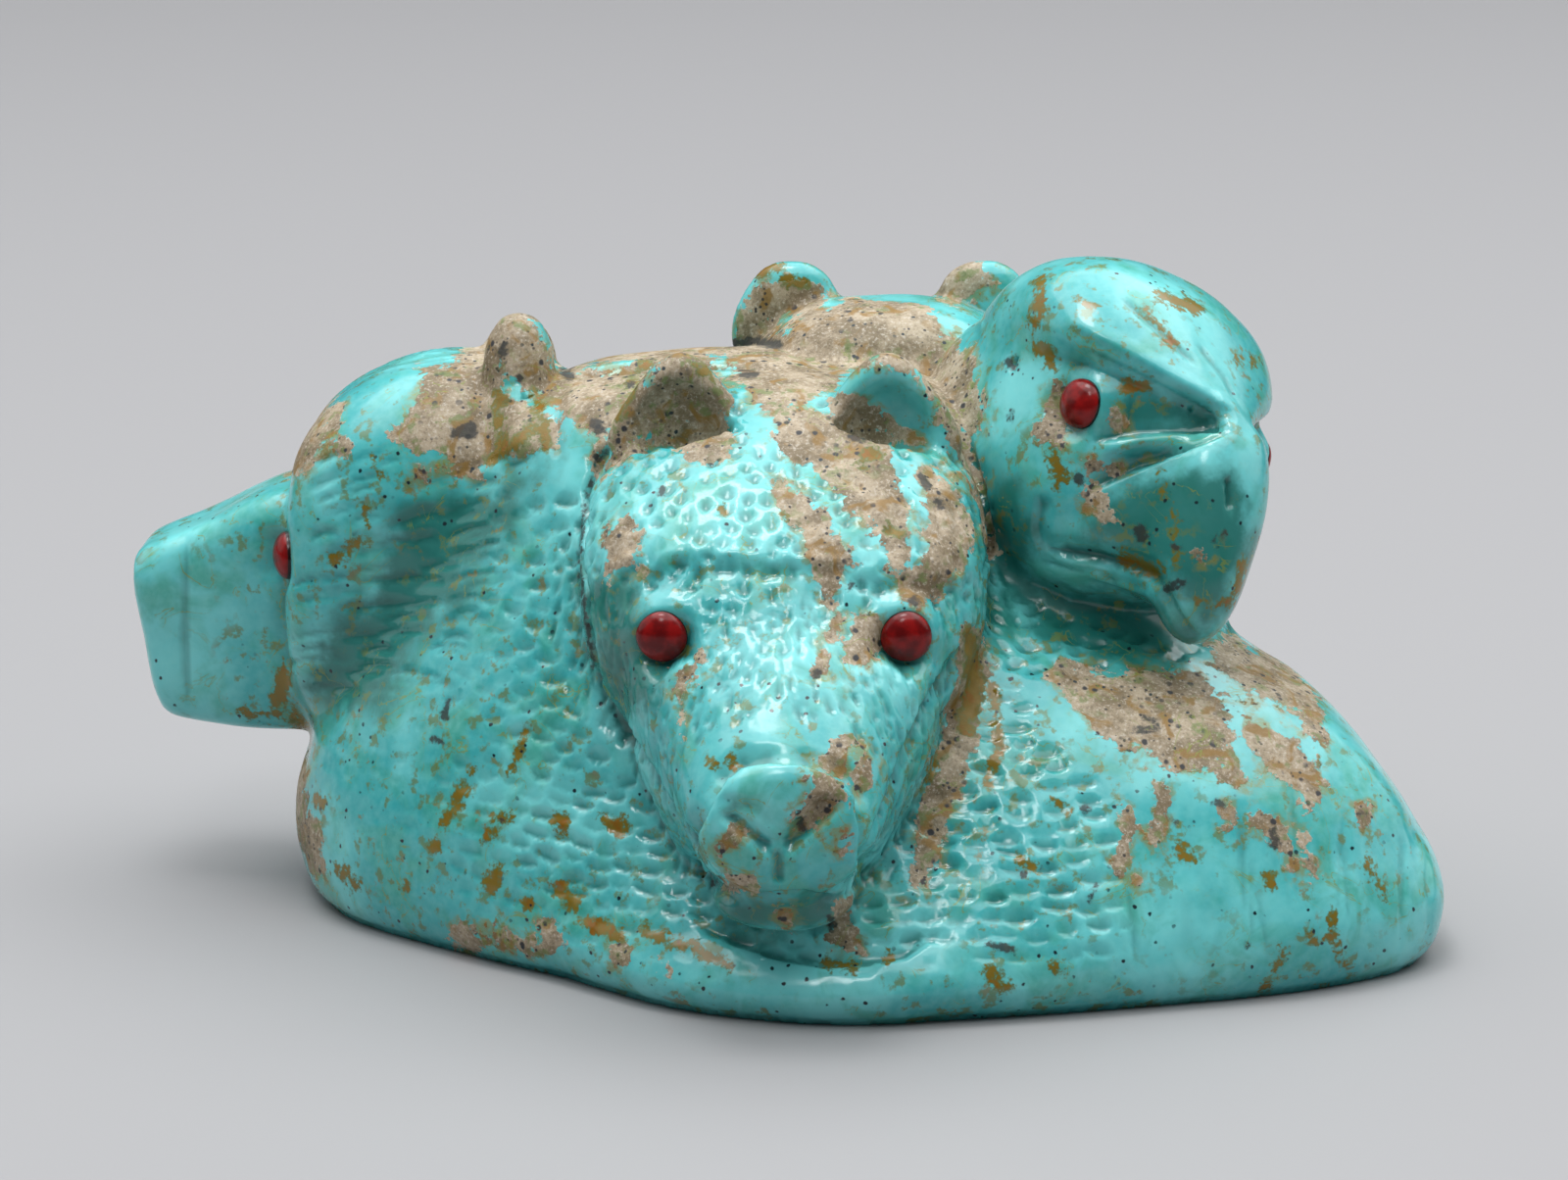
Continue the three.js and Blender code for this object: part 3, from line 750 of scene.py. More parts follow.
def outlined(outlines):
    """How far each point lies inside the nearest of the outlines, in millimetres."""
    best = np.full(len(seen_down), OUTSIDE_ALL)
    for outline in outlines:
        within = np.zeros(len(seen_down), bool)
        nearest = np.full(len(seen_down), np.inf)
        for (x0, y0), (x1, y1) in zip(outline, outline[1:] + outline[:1]):
            nearest = np.minimum(nearest, beside(x0, y0, x1, y1)[1])
            if y0 != y1:
                crossed = (y0 > seen_down) != (y1 > seen_down)
                within ^= crossed & (seen_across < x0 + (seen_down - y0) * (x1 - x0) / (y1 - y0))
        best = np.maximum(best, np.where(within, nearest, -nearest))
    return all_round(best)


def spotted(chains):
    """The same for chains of round spots: places across and down, each with its radius in pixels."""
    best = np.full(len(seen_down), OUTSIDE_ALL)
    for chain in chains:
        for (x0, y0, r0), (x1, y1, r1) in zip(chain, chain[1:]):
            share, distance = beside(x0, y0, x1, y1)
            best = np.maximum(best, r0 + (r1 - r0) * share - distance)
    return all_round(best)


def balled(*balls):
    """The same for the hidden sides: ragged patches where balls, by middle and radius in mm, meet the skin."""
    ragged = np.array([noise.noise(Vector(point) / RAG_LENGTH) for point in skin])
    inside = np.max([radius - np.linalg.norm(skin - middle, axis=1) for middle, radius in balls], axis=0)
    return RAG_HEIGHT * ragged + inside


# %% [markdown]
# The fields, from the wolf's head over the flat top to the slope. Turquoise veins that cross a field are
# chains of spots that are taken away from it again.

# %% The fields of host rock
ROCK_FIELDS = [
    # The wolf's head, its ear and the flat top
    [(430, 376), (463, 370), (500, 318), (545, 322), (566, 372), (640, 372), (740, 350), (745, 400), (700, 412),
     (660, 425), (630, 445), (612, 462), (600, 470), (590, 450), (575, 440), (560, 455), (530, 459), (505, 463),
     (488, 484), (472, 492), (447, 486), (422, 488), (422, 459), (401, 455), (393, 447), (413, 434), (424, 409)],
    [(297, 438), (313, 422), (343, 409), (351, 413), (334, 443), (326, 463), (313, 480), (293, 484), (290, 463)],
    [(735, 352), (760, 333), (800, 322), (850, 300), (900, 310), (960, 330), (985, 350), (1000, 400), (1008, 445),
     (985, 445), (960, 420), (930, 385), (905, 372), (880, 372), (850, 392), (820, 418), (795, 424), (775, 420),
     (760, 400)],
    [(757, 330), (760, 300), (775, 290), (800, 285), (840, 290), (855, 305), (850, 320), (820, 325), (790, 322)],
    [(950, 300), (960, 262), (975, 255), (1005, 262), (1015, 290), (990, 312)],
    # The bear's ears
    [(622, 455), (640, 420), (655, 400), (672, 380), (688, 365), (705, 357), (722, 360), (735, 372), (742, 390),
     (748, 410), (740, 424), (715, 430), (690, 436), (660, 447), (630, 462)],
    [(835, 415), (850, 402), (870, 402), (890, 415), (910, 425), (930, 440), (945, 454), (925, 452), (900, 440),
     (870, 428), (845, 424)],
    [(952, 410), (965, 408), (980, 430), (992, 455), (1002, 490), (988, 492), (972, 470), (960, 445), (950, 425)],
    # The bear's forehead
    [(608, 474), (644, 445), (694, 429), (749, 424), (754, 441), (747, 452), (742, 465), (724, 475), (701, 474),
     (694, 459), (679, 453), (663, 459), (649, 466), (626, 477), (610, 488)],
    [(613, 543), (626, 534), (640, 524), (649, 541), (649, 563), (658, 584), (644, 581), (629, 584), (624, 599),
     (619, 595), (617, 570)],
    [(785, 427), (811, 420), (847, 418), (876, 427), (908, 443), (911, 456), (917, 481), (920, 499), (928, 524),
     (931, 545), (931, 563), (922, 577), (911, 581), (904, 577), (901, 563), (888, 545), (876, 531), (865, 513),
     (854, 497), (840, 488), (819, 479), (804, 474), (792, 459)],
    [(788, 486), (804, 488), (811, 500), (826, 504), (840, 504), (844, 520), (849, 538), (856, 550), (867, 558),
     (878, 563), (876, 575), (863, 581), (858, 591), (856, 606), (849, 615), (840, 599), (830, 581), (822, 568),
     (816, 550), (806, 531), (794, 513)],
    [(933, 481), (947, 481), (965, 491), (979, 513), (990, 531), (995, 552), (990, 563), (983, 577), (969, 588),
     (961, 599), (951, 613), (940, 620), (928, 616), (920, 606), (920, 591), (933, 577), (947, 566), (951, 552),
     (951, 534), (947, 520), (942, 506), (929, 491)],
    [(872, 624), (894, 622), (901, 649), (899, 670), (883, 679), (865, 675), (863, 652)],
    [(679, 681), (711, 681), (715, 691), (701, 699), (695, 716), (690, 706)],
    # The bear's nose and the strip beside its right cheek
    [(818, 790), (840, 788), (863, 800), (870, 817), (853, 817), (843, 830), (837, 850), (822, 855), (810, 850),
     (812, 833), (822, 820), (823, 803)],
    [(840, 870), (853, 853), (867, 847), (870, 860), (857, 870), (843, 878)],
    [(737, 867), (747, 847), (760, 843), (757, 853), (743, 867), (737, 877)],
    [(738, 893), (777, 893), (778, 910), (740, 912)],
    [(787, 930), (810, 927), (808, 943), (795, 950)],
    [(853, 920), (872, 912), (873, 933), (878, 953), (877, 973), (853, 977), (847, 960), (848, 937)],
    [(853, 752), (870, 752), (862, 770), (857, 790), (840, 785), (835, 775), (848, 770)],
    [(875, 753), (887, 760), (895, 787), (890, 800), (878, 797)],
    [(985, 640), (1003, 640), (1012, 690), (1006, 730), (985, 790), (965, 850), (945, 905), (925, 910), (932, 860),
     (935, 825), (950, 790), (965, 750), (975, 700)],
    # The slope under the eagle
    [(1086, 673), (1109, 677), (1136, 688), (1173, 680), (1214, 686), (1236, 690), (1250, 714), (1255, 764),
     (1268, 782), (1277, 800), (1273, 814), (1255, 800), (1236, 782), (1214, 786), (1191, 782), (1173, 773),
     (1150, 759), (1123, 755), (1109, 736), (1100, 718), (1086, 700), (1068, 686)],
    [(1232, 659), (1255, 650), (1291, 664), (1318, 677), (1336, 700), (1350, 732), (1352, 755), (1336, 755),
     (1318, 736), (1291, 723), (1264, 705), (1245, 682)],
    [(1264, 723), (1291, 732), (1318, 755), (1345, 777), (1355, 795), (1350, 827), (1336, 823), (1318, 805),
     (1295, 782), (1282, 759), (1268, 745)],
    [(1236, 814), (1259, 818), (1261, 836), (1250, 843), (1241, 827)],
    [(1277, 827), (1295, 832), (1314, 855), (1327, 882), (1323, 895), (1309, 868), (1291, 850), (1280, 841)],
    [(1318, 841), (1336, 845), (1341, 873), (1345, 895), (1334, 891), (1325, 868)],
    [(1182, 800), (1195, 805), (1191, 836), (1180, 868), (1168, 855), (1177, 827)],
    [(1150, 818), (1164, 845), (1155, 873), (1141, 891), (1136, 873), (1145, 845)],
    # The eagle's cheek and the foot of the body
    [(1106, 500), (1118, 496), (1128, 508), (1138, 525), (1142, 538), (1132, 537), (1120, 522), (1108, 512)],
    [(494, 946), (510, 944), (530, 951), (544, 960), (541, 970), (520, 967), (500, 960)],
]
ROCK_SPOTS = [
    [(849, 612, 4), (853, 634, 3.5), (841, 663, 5), (838, 684, 6)], [(693, 700, 4), (695, 730, 3), (695, 755, 2)],
    [(716, 670, 5), (718, 672, 5)], [(969, 456, 5), (990, 484, 5), (1004, 527, 5), (1011, 563, 4)],
    [(350, 455, 6), (352, 458, 6)], [(302, 745, 8), (304, 800, 11), (312, 850, 10), (322, 884, 8)],
    [(1390, 828, 9), (1396, 834, 7)], [(1163, 902, 6), (1164, 916, 5)],
    [(1078, 395, 5), (1080, 415, 6), (1066, 440, 9), (1080, 446, 8)], [(1138, 422, 6), (1150, 432, 6)],
    [(1112, 474, 4), (1140, 478, 5)], [(1224, 568, 10), (1226, 570, 10)], [(558, 950, 9), (562, 962, 10)],
    [(633, 968, 9), (634, 976, 9)], [(680, 988, 8), (682, 992, 8)], [(468, 955, 12), (480, 962, 9)],
]
VEINS = [
    [(749, 424, 10), (760, 450, 12), (790, 478, 10), (830, 492, 10), (854, 518, 10), (879, 549, 10), (890, 590, 10)],
    [(913, 455, 4), (924, 481, 8), (936, 510, 9), (940, 545, 9), (936, 565, 7)],
    [(926, 449, 3.5), (969, 484, 4.5), (994, 520, 4.5), (1000, 550, 4)],
    [(505, 376, 4.5), (530, 401, 4.5), (580, 430, 5), (588, 445, 8), (597, 458, 8)],
    [(430, 470, 6), (445, 466, 8), (456, 474, 6)], [(798, 328, 6), (830, 334, 8), (848, 346, 9)],
    [(853, 308, 8), (870, 318, 10), (880, 345, 12), (888, 360, 8)],
    [(893, 316, 9), (920, 330, 12), (950, 340, 11), (980, 322, 14)],
    [(728, 360, 6), (742, 380, 7), (755, 405, 8), (762, 425, 8)], [(660, 383, 3), (672, 370, 4), (684, 362, 3)],
    [(1250, 700, 9), (1282, 722, 11), (1318, 740, 12), (1341, 765, 9)], [(1262, 735, 5), (1275, 768, 6)],
]
rock = np.minimum(np.maximum(outlined(ROCK_FIELDS), spotted(ROCK_SPOTS)), -spotted(VEINS))
print("the host rock covers", round(float((rock > 0).mean()) * 100), "percent of the skin's points")

# %% [markdown]
# On the hidden sides the fields go on, larger and simpler: over the flat top, the lion's back and the wolf's
# far cheek, and in a few patches low on the back.

# %% The host rock on the hidden sides
rock = np.maximum(rock, balled(
    ((-6, 4, 25), 4.5), ((-12, 9, 25.5), 4), ((-20, 12, 20), 3.4), ((4, 6, 27), 4), ((9, 15, 24), 3.5),
    ((14, 13, 14), 4.2), ((19, 9, 12), 4.6), ((24, 6, 7), 3.2), ((20, 17, 4), 3), ((-13, 18, 9), 3.4),
    ((-20, 15, 6), 2.6), ((-4, 24, 6), 2.4), ((6, 24.5, 12), 2.2), ((2, 20.5, 21), 2.4), ((22, 2, 27), 2.4),
))

# %% [markdown]
# The rust stains are smaller, and the dark spots and lines are grains and cracks that hold dirt. They are kept
# as two more distances. A last one marks where the turquoise runs to deep teal, and where painted shade darkens
# it under the eagle's jaw, beside its neck and under the bear's nose.

# %% The stains, the dark cracks, and the deep teal drifts and painted shade
RUST = [
    [(505, 400, 4), (508, 430, 5), (512, 458, 5)], [(546, 395, 3), (552, 425, 5), (556, 455, 5)],
    [(480, 788, 4), (474, 803, 5), (462, 825, 6), (455, 836, 4)], [(518, 833, 6), (505, 840, 4), (496, 855, 3)],
    [(443, 863, 5), (444, 866, 5)], [(538, 742, 2.5), (530, 770, 2.5), (517, 788, 2)],
    [(572, 836, 8), (574, 846, 6)], [(618, 836, 6), (632, 842, 8)], [(507, 888, 4), (502, 905, 7)],
    [(536, 920, 4), (538, 924, 4)], [(572, 908, 8), (584, 920, 9)], [(594, 938, 5), (615, 948, 6), (636, 958, 5)],
    [(345, 884, 4), (362, 902, 5)], [(413, 902, 4), (414, 903, 4)], [(325, 815, 5), (326, 820, 5)],
    [(290, 680, 6), (288, 705, 9), (280, 728, 6)], [(243, 726, 3), (254, 730, 4)], [(303, 730, 6), (310, 755, 6)],
    [(340, 572, 4), (351, 568, 4), (360, 558, 4), (372, 553, 3), (374, 520, 2)], [(380, 468, 3), (386, 486, 3)],
    [(1062, 287, 5), (1063, 308, 5), (1054, 330, 5)], [(1060, 355, 7), (1076, 372, 6)],
    [(1148, 398, 6), (1168, 392, 6)], [(1072, 462, 6), (1084, 492, 6)], [(1100, 308, 3), (1116, 312, 3)],
    [(1184, 302, 5), (1205, 310, 6), (1224, 314, 5)], [(1160, 314, 2), (1180, 330, 3), (1198, 350, 3)],
    [(1260, 366, 3), (1280, 370, 3)], [(1186, 481, 2.5), (1187, 511, 2.5)], [(1196, 519, 2.5), (1203, 569, 3)],
    [(1142, 568, 5), (1165, 576, 6), (1182, 584, 4)], [(1226, 613, 3), (1258, 617, 3)],
    [(1270, 572, 3), (1264, 602, 4)], [(990, 650, 8), (995, 700, 10), (985, 745, 8)],
    [(955, 780, 5), (950, 795, 4)], [(745, 776, 5), (748, 782, 5)], [(722, 776, 4), (728, 780, 4)],
    [(715, 866, 4), (718, 876, 3)], [(845, 982, 5), (868, 986, 4)], [(905, 977, 5), (906, 978, 5)],
    [(1205, 865, 6), (1216, 876, 6)], [(1294, 894, 4), (1298, 902, 4)], [(1286, 1004, 4), (1290, 1006, 4)],
    [(1360, 930, 2.5), (1362, 965, 3)], [(1398, 880, 2.5), (1415, 915, 3)], [(1338, 950, 4), (1341, 960, 4)],
    [(1373, 984, 4), (1375, 986, 4)], [(1310, 968, 3), (1304, 990, 3)],
    [(1012, 700, 5), (1018, 760, 6), (1010, 800, 4)], [(1040, 880, 5), (1058, 888, 4)],
    [(1010, 990, 6), (1025, 1010, 6)], [(1075, 985, 4), (1085, 992, 4)], [(1075, 820, 3), (1090, 828, 3)],
    [(660, 950, 6), (700, 965, 5), (740, 985, 5)], [(800, 525, 3), (803, 528, 3)], [(735, 520, 4), (738, 523, 4)],
    [(905, 538, 6), (915, 545, 5)], [(880, 470, 6), (892, 462, 5)], [(660, 370, 4), (640, 400, 5), (630, 425, 4)],
    [(710, 372, 5), (725, 385, 5)], [(510, 400, 5), (508, 412, 5)], [(540, 440, 6), (500, 470, 5)],
    [(775, 275, 6), (795, 272, 5)], [(800, 285, 5), (820, 290, 4)],
]
DARK = [
    [(620, 458, 2), (611, 468, 2.4), (600, 500, 2.6), (596, 522, 2.4), (592, 577, 2.4), (596, 620, 2.6)],
    [(596, 620, 2.6), (600, 645, 3), (606, 680, 2)], [(1008, 964, 3), (1025, 967, 5.5), (1042, 973, 2)],
    [(745, 352, 5), (765, 347, 5), (795, 352, 5)], [(757, 380, 5), (770, 382, 5)], [(640, 396, 5), (646, 392, 5)],
    [(608, 432, 8), (614, 440, 8)], [(575, 378, 5), (582, 384, 5)], [(465, 444, 7), (480, 438, 9)],
    [(512, 362, 5), (516, 350, 4)], [(530, 386, 4), (532, 384, 4)], [(1030, 370, 6), (1036, 373, 5)],
    [(1030, 418, 4), (1032, 430, 4)], [(1100, 487, 6), (1102, 490, 6)], [(1162, 540, 7), (1166, 548, 7)],
    [(1190, 600, 5), (1206, 596, 6)], [(1198, 556, 5), (1202, 560, 5)], [(1252, 541, 4), (1240, 552, 4)],
    [(460, 710, 2.5), (456, 722, 3), (453, 733, 5)], [(441, 755, 4), (452, 757, 3)], [(511, 838, 3), (513, 838, 3)],
    [(495, 859, 3.5), (496, 860, 3)], [(868, 596, 4), (867, 600, 4)], [(933, 613, 6), (934, 614, 6)],
    [(832, 687, 5), (833, 688, 5)], [(676, 500, 4), (675, 503, 4)], [(938, 485, 4), (946, 496, 5)],
    [(957, 514, 5), (960, 515, 5)], [(868, 446, 3.5), (884, 448, 3)],
    [(1168, 730, 5), (1182, 742, 5), (1150, 748, 4)], [(1147, 766, 6), (1149, 767, 6)],
    [(1107, 825, 5), (1108, 826, 5)], [(1237, 816, 4), (1250, 826, 5)], [(1300, 848, 5), (1300, 862, 6)],
    [(1186, 824, 4), (1203, 842, 3)], [(1118, 905, 4), (1112, 918, 3)], [(1275, 962, 3), (1272, 966, 3)],
    [(1043, 890, 5), (1045, 892, 4)], [(1062, 886, 3), (1064, 887, 3)], [(848, 938, 5), (850, 948, 4)],
    [(816, 838, 5), (818, 845, 5)], [(736, 893, 2.5), (728, 903, 2.5)], [(1390, 830, 5), (1392, 832, 5)],
]
# Partly the stone's deep teal, partly painted shade: under the eagle's jaw, beside its neck, along its beak and under
# the bear's nose.
DEEP_TEAL_AND_SHADE = [
    [(400, 520), (470, 500), (540, 475), (560, 470), (520, 540), (470, 610), (430, 665), (395, 725), (330, 730),
     (310, 700), (330, 640), (390, 600)],
    [(1130, 405), (1170, 396), (1215, 408), (1255, 426), (1230, 438), (1180, 440), (1140, 432)],
    [(1130, 512), (1180, 488), (1240, 470), (1278, 500), (1284, 560), (1262, 628), (1226, 640), (1196, 600),
     (1140, 566), (1100, 545)],
    [(1030, 588), (1100, 598), (1150, 606), (1190, 618), (1230, 655), (1180, 684), (1120, 680), (1050, 650)],
    [(1005, 470), (1040, 485), (1062, 540), (1050, 600), (1030, 650), (1008, 620)],
    [(1125, 492), (1160, 474), (1210, 454), (1255, 440), (1200, 470), (1150, 492)],
    [(590, 600), (640, 590), (690, 700), (640, 740), (610, 700)],
    [(728, 912), (765, 918), (800, 920), (840, 915), (864, 922), (850, 944), (800, 954), (745, 948), (722, 930)],
]
rust = spotted(RUST)
dark = spotted(DARK)
# Deep teal of the stone together with painted shade.
deep_teal_and_painted_shade = outlined(DEEP_TEAL_AND_SHADE)

# %% [markdown]
# The carved skin goes back into the mesh, with the five measures as attributes of its points. A decimate
# modifier thins out the squares of its flat and smooth parts and keeps the punch marks.

# %% The finished skin
TRIANGLES = 190_000
low, high = np.array(cad_box) / MM
skin[underside, 2] = 0
skin = np.clip(skin, low, high)
stone.data.vertices.foreach_set("co", (skin * MM).ravel())
# The hollow measure and the deep teal one carry painted shade into the material.
measures = {"rock": rock, "rust": rust, "dark": dark, "painted_hollow_shade": painted_hollow_shade, "deep_teal_and_painted_shade": deep_teal_and_painted_shade}
for name, values in measures.items():
    measure = stone.data.attributes.new(name, "FLOAT", "POINT")
    measure.data.foreach_set("value", values.astype(np.float32))
stone.data.update()
select_only(stone)
thinner = stone.modifiers.new("thinner", "DECIMATE")
thinner.ratio = min(1, TRIANGLES / (2 * len(stone.data.polygons)))
bpy.ops.object.modifier_apply(modifier=thinner.name)
bpy.ops.object.shade_smooth()
print("the finished skin has", len(stone.data.polygons), "faces")

# %% [markdown]
# The beads are ground coral. Each starts as a ball that is cut at its middle, drawn down into a straight shank
# and domed a little lower than a ball. For the dark line of adhesive, each point of a bead stores its height
# above the stone, in millimetres.

# %% The coral beads
CROWN_HEIGHT = 0.74
bpy.ops.mesh.primitive_uv_sphere_add(segments=48, ring_count=24, radius=BEAD_RADIUS * MM, location=(0, 0, 0))
bead_form = bpy.context.active_object
bpy.ops.object.mode_set(mode="EDIT")
bpy.ops.mesh.select_all(action="SELECT")
bpy.ops.mesh.bisect(plane_co=(0, 0, 0), plane_no=(0, 0, 1), clear_inner=True)
bpy.ops.mesh.extrude_region_move(TRANSFORM_OT_translate={"value": (0, 0, -SHANK_LENGTH * MM)})
bpy.ops.mesh.edge_face_add()
bpy.ops.mesh.select_all(action="SELECT")
bpy.ops.mesh.normals_make_consistent(inside=False)
bpy.ops.object.mode_set(mode="OBJECT")
for vertex in bead_form.data.vertices:
    if vertex.co.z > 0:
        vertex.co.z *= CROWN_HEIGHT / BEAD_RADIUS
beads = []
for node, (rim, outwards) in seats.items():
    bead = new_object(f"coral_{node}", bead_form.data.copy())
    spin = Matrix.Rotation(chance.uniform(0, 6), 4, "Z")
    place = Matrix.Translation(rim * MM) @ outwards.to_track_quat("Z", "Y").to_matrix().to_4x4() @ spin
    height = bead.data.attributes.new("height", "FLOAT", "POINT")
    height.data.foreach_set("value", [vertex.co.z / MM for vertex in bead.data.vertices])
    for vertex in bead.data.vertices:
        swell = 1 + 0.02 * math.sin(vertex.co.x / MM * 2.3 + len(beads)) * math.cos(vertex.co.y / MM * 2.9)
        vertex.co = place @ (vertex.co * swell)
    select_only(bead)
    bpy.ops.object.shade_smooth_by_angle(angle=math.radians(40))
    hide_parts(node)
    beads.append(bead)
bpy.data.objects.remove(bead_form)
print("made", len(beads), "beads")

# %% [markdown]
# One helper adds a node, sets it and fills its sockets, one turns a colour as a painter reads it off a screen
# into the linear numbers that the shader wants, and one lays coats of colour over each other.

# %% The helpers for materials
def linear(colour):
    values = [int(colour[i:i + 2], 16) / 255 for i in (1, 3, 5)]
    return (*[v / 12.92 if v <= 0.04045 else ((v + 0.055) / 1.055) ** 2.4 for v in values], 1)


def add(tree, kind, settings, sockets, output=0):
    """Adds a node and gives back one of its outputs. A socket takes a value, a colour or a node's output."""
    node = tree.nodes.new("ShaderNode" + kind)
    for name, value in settings.items():
        setattr(node, name, value)
    for name, value in sockets.items():
        if isinstance(value, bpy.types.NodeSocket):
            tree.links.new(value, node.inputs[name])
        else:
            node.inputs[name].default_value = linear(value) if isinstance(value, str) else value
    return node.outputs[output] if node.outputs else node


def new_material(name):
    material = bpy.data.materials.new(name)
    material.use_nodes = True
    material.node_tree.nodes.clear()
    return material, material.node_tree


SMOOTH_STEP = {"interpolation_type": "SMOOTHSTEP"}
COLOURS = {"data_type": "RGBA"}
TIMES, PLUS = {"operation": "MULTIPLY"}, {"operation": "MULTIPLY_ADD"}


def coated(colour, *coats):
    """A colour under coats of paint. Each coat covers a share, or follows a value: then three more numbers say
    at which values it begins and is full, and how much it covers at most."""
    for share, paint, *rise in coats:
        if rise:
            share = add(tree, "MapRange", SMOOTH_STEP, {0: share, 1: rise[0], 2: rise[1], 4: rise[2]})
        colour = add(tree, "Mix", COLOURS, {0: share, 6: colour, 7: paint}, 2)
    return colour

# %% [markdown]
# The stone is painted with a few patterns of noise. A wandering border is a stored distance with noise of up to
# three sizes added, so that it is ragged the way mineral grows into rock. Specks are grains of black matrix:
# small cells, of which only some hold a grain, and those lie in swarms.

# %% The patterns, the wandering border and the specks
turquoise, tree = new_material("turquoise_polished_in_host_rock")
place = add(tree, "TexCoord", {}, {}, "Object")
# Each pattern's size in millimetres, its detail, roughness and distortion.
PATTERNS = {
    "clouds": (6, 4, 0.5, 0), "drift": (2.6, 5, 0.5, 0.6), "fine": (0.5, 4, 0.5, 0), "patches": (2, 6, 0.68, 0),
    "grain": (0.2, 3, 0.7, 0), "iron": (1.3, 5, 0.5, 0.8), "threads": (3.6, 5, 0.5, 1.2), "blots": (0.9, 5, 0.62, 0),
}
pattern = {}
for name, (size, detail, roughness, distortion) in PATTERNS.items():
    look = {"Scale": 1 / (size * MM), "Detail": detail, "Roughness": roughness, "Distortion": distortion}
    pattern[name] = add(tree, "TexNoise", {}, {"Vector": place, **look})
# Noise keeps near its middle, so it takes this gain to move a border by its whole reach.
NOISE_GAIN = 5


def wandering(stored, *roughness):
    """A stored distance with noise added: for each, its size and how far it moves the border, both in mm."""
    distance = add(tree, "Attribute", {"attribute_name": stored}, {}, "Fac")
    for size, reach in roughness:
        ripple = add(tree, "TexNoise", {}, {"Vector": place, "Scale": 1 / (size * MM), "Detail": 4, "Roughness": 0.6})
        centred = add(tree, "Math", {"operation": "SUBTRACT"}, {0: ripple, 1: 0.5})
        distance = add(tree, "Math", PLUS, {0: centred, 1: reach * NOISE_GAIN, 2: distance})
    return distance


def specks(cell, radius, share, swarm):
    """Grains of that radius in cells of that size, in mm, in a share of the cells of each swarm."""
    around_here = add(tree, "TexNoise", {}, {"Vector": place, "Scale": 1 / (cell * 0.45 * MM), "Detail": 2}, "Color")
    bent = add(tree, "Mix", COLOURS, {0: cell * 0.25 * MM, 6: place, 7: around_here}, 2)
    grains = add(tree, "TexVoronoi", {}, {"Vector": bent, "Scale": 1 / (cell * MM)}).node
    edge = radius / cell
    round_grain = add(tree, "MapRange", {}, {0: grains.outputs["Distance"], 1: edge * 1.25, 2: edge * 0.8})
    chosen = add(tree, "MapRange", {}, {0: grains.outputs["Color"], 1: 1 - share, 2: 1.02 - share})
    swarms = add(tree, "TexNoise", {}, {"Vector": place, "Scale": 1 / (swarm * MM), "Detail": 2})
    crowded = add(tree, "MapRange", SMOOTH_STEP, {0: swarms, 1: 0.44, 2: 0.54})
    return add(tree, "Math", TIMES, {0: round_grain, 1: add(tree, "Math", TIMES, {0: chosen, 1: crowded})})


# %% [markdown]
# Turquoise is waxy and smooth: a clean sky blue with paler clouds and greener drifts, deep teal in places, part
# of which is painted shade, and painted shade in the cuts. Close to the rock it is stained olive.

# %% The turquoise itself
mottle = add(tree, "MapRange", {}, {0: pattern["fine"], 1: 0.35, 2: 0.65, 3: 0, 4: 0.2})
# Painted shade: the hollows and the cuts are darkened in the colour itself.
painted_hollow_shade_here = add(tree, "Attribute", {"attribute_name": "painted_hollow_shade"}, {}, "Fac")
hollow_shade_share = add(tree, "Math", TIMES, {0: painted_hollow_shade_here, 1: 0.85})
border = wandering("rock", (1.8, 0.45), (0.7, 0.3), (0.25, 0.14))
near_rock = add(tree, "MapRange", SMOOTH_STEP, {0: border, 1: -0.6, 2: -0.05})
patchy = add(tree, "MapRange", SMOOTH_STEP, {0: pattern["iron"], 1: 0.47, 2: 0.6, 4: 0.7})
halo = add(tree, "Math", TIMES, {0: near_rock, 1: patchy})
# The deep teal coat is partly the stone's own colour and partly painted shade; the dark coat after it is painted
# shade in the hollows.
blue = coated(
    "#3CA8AB", (pattern["clouds"], "#70CECF", 0.36, 0.66, 1), (pattern["drift"], "#3A9C86", 0.44, 0.7, 0.75),
    (mottle, "#84D6D2"), (wandering("deep_teal_and_painted_shade", (2.0, 0.8)), "#146358", -0.9, 1.0, 0.85), (hollow_shade_share, "#0D564F"),
    (halo, "#7E7E3A"),
)

# %% [markdown]
# The host rock is a grainy tan sandstone: pale quartz, browner patches, ochre where iron has run, and black
# specks.

# %% The host rock
rocky = add(tree, "MapRange", SMOOTH_STEP, {0: border, 1: -0.05, 2: 0.06})
ochre = add(tree, "MapRange", SMOOTH_STEP, {0: pattern["iron"], 1: 0.54, 2: 0.66, 4: 0.85})
tan = coated(
    "#75664B", (pattern["patches"], "#AB9C84", 0.38, 0.62, 1), (pattern["grain"], "#C6BDAF", 0.52, 0.68, 0.65),
    (pattern["grain"], "#5A4C38", 0.46, 0.34, 0.5), (ochre, "#84631F"), (specks(0.6, 0.16, 0.5, 2.6), "#26272A"),
    (specks(0.33, 0.08, 0.5, 1.7), "#2C2A28"),
)

# %% [markdown]
# Yellow-green threads and blots, rust stains, sparse swarms of specks and the dirt in the cracks lie over
# both. A rust stain is ochre in its middle and olive where it thins out.

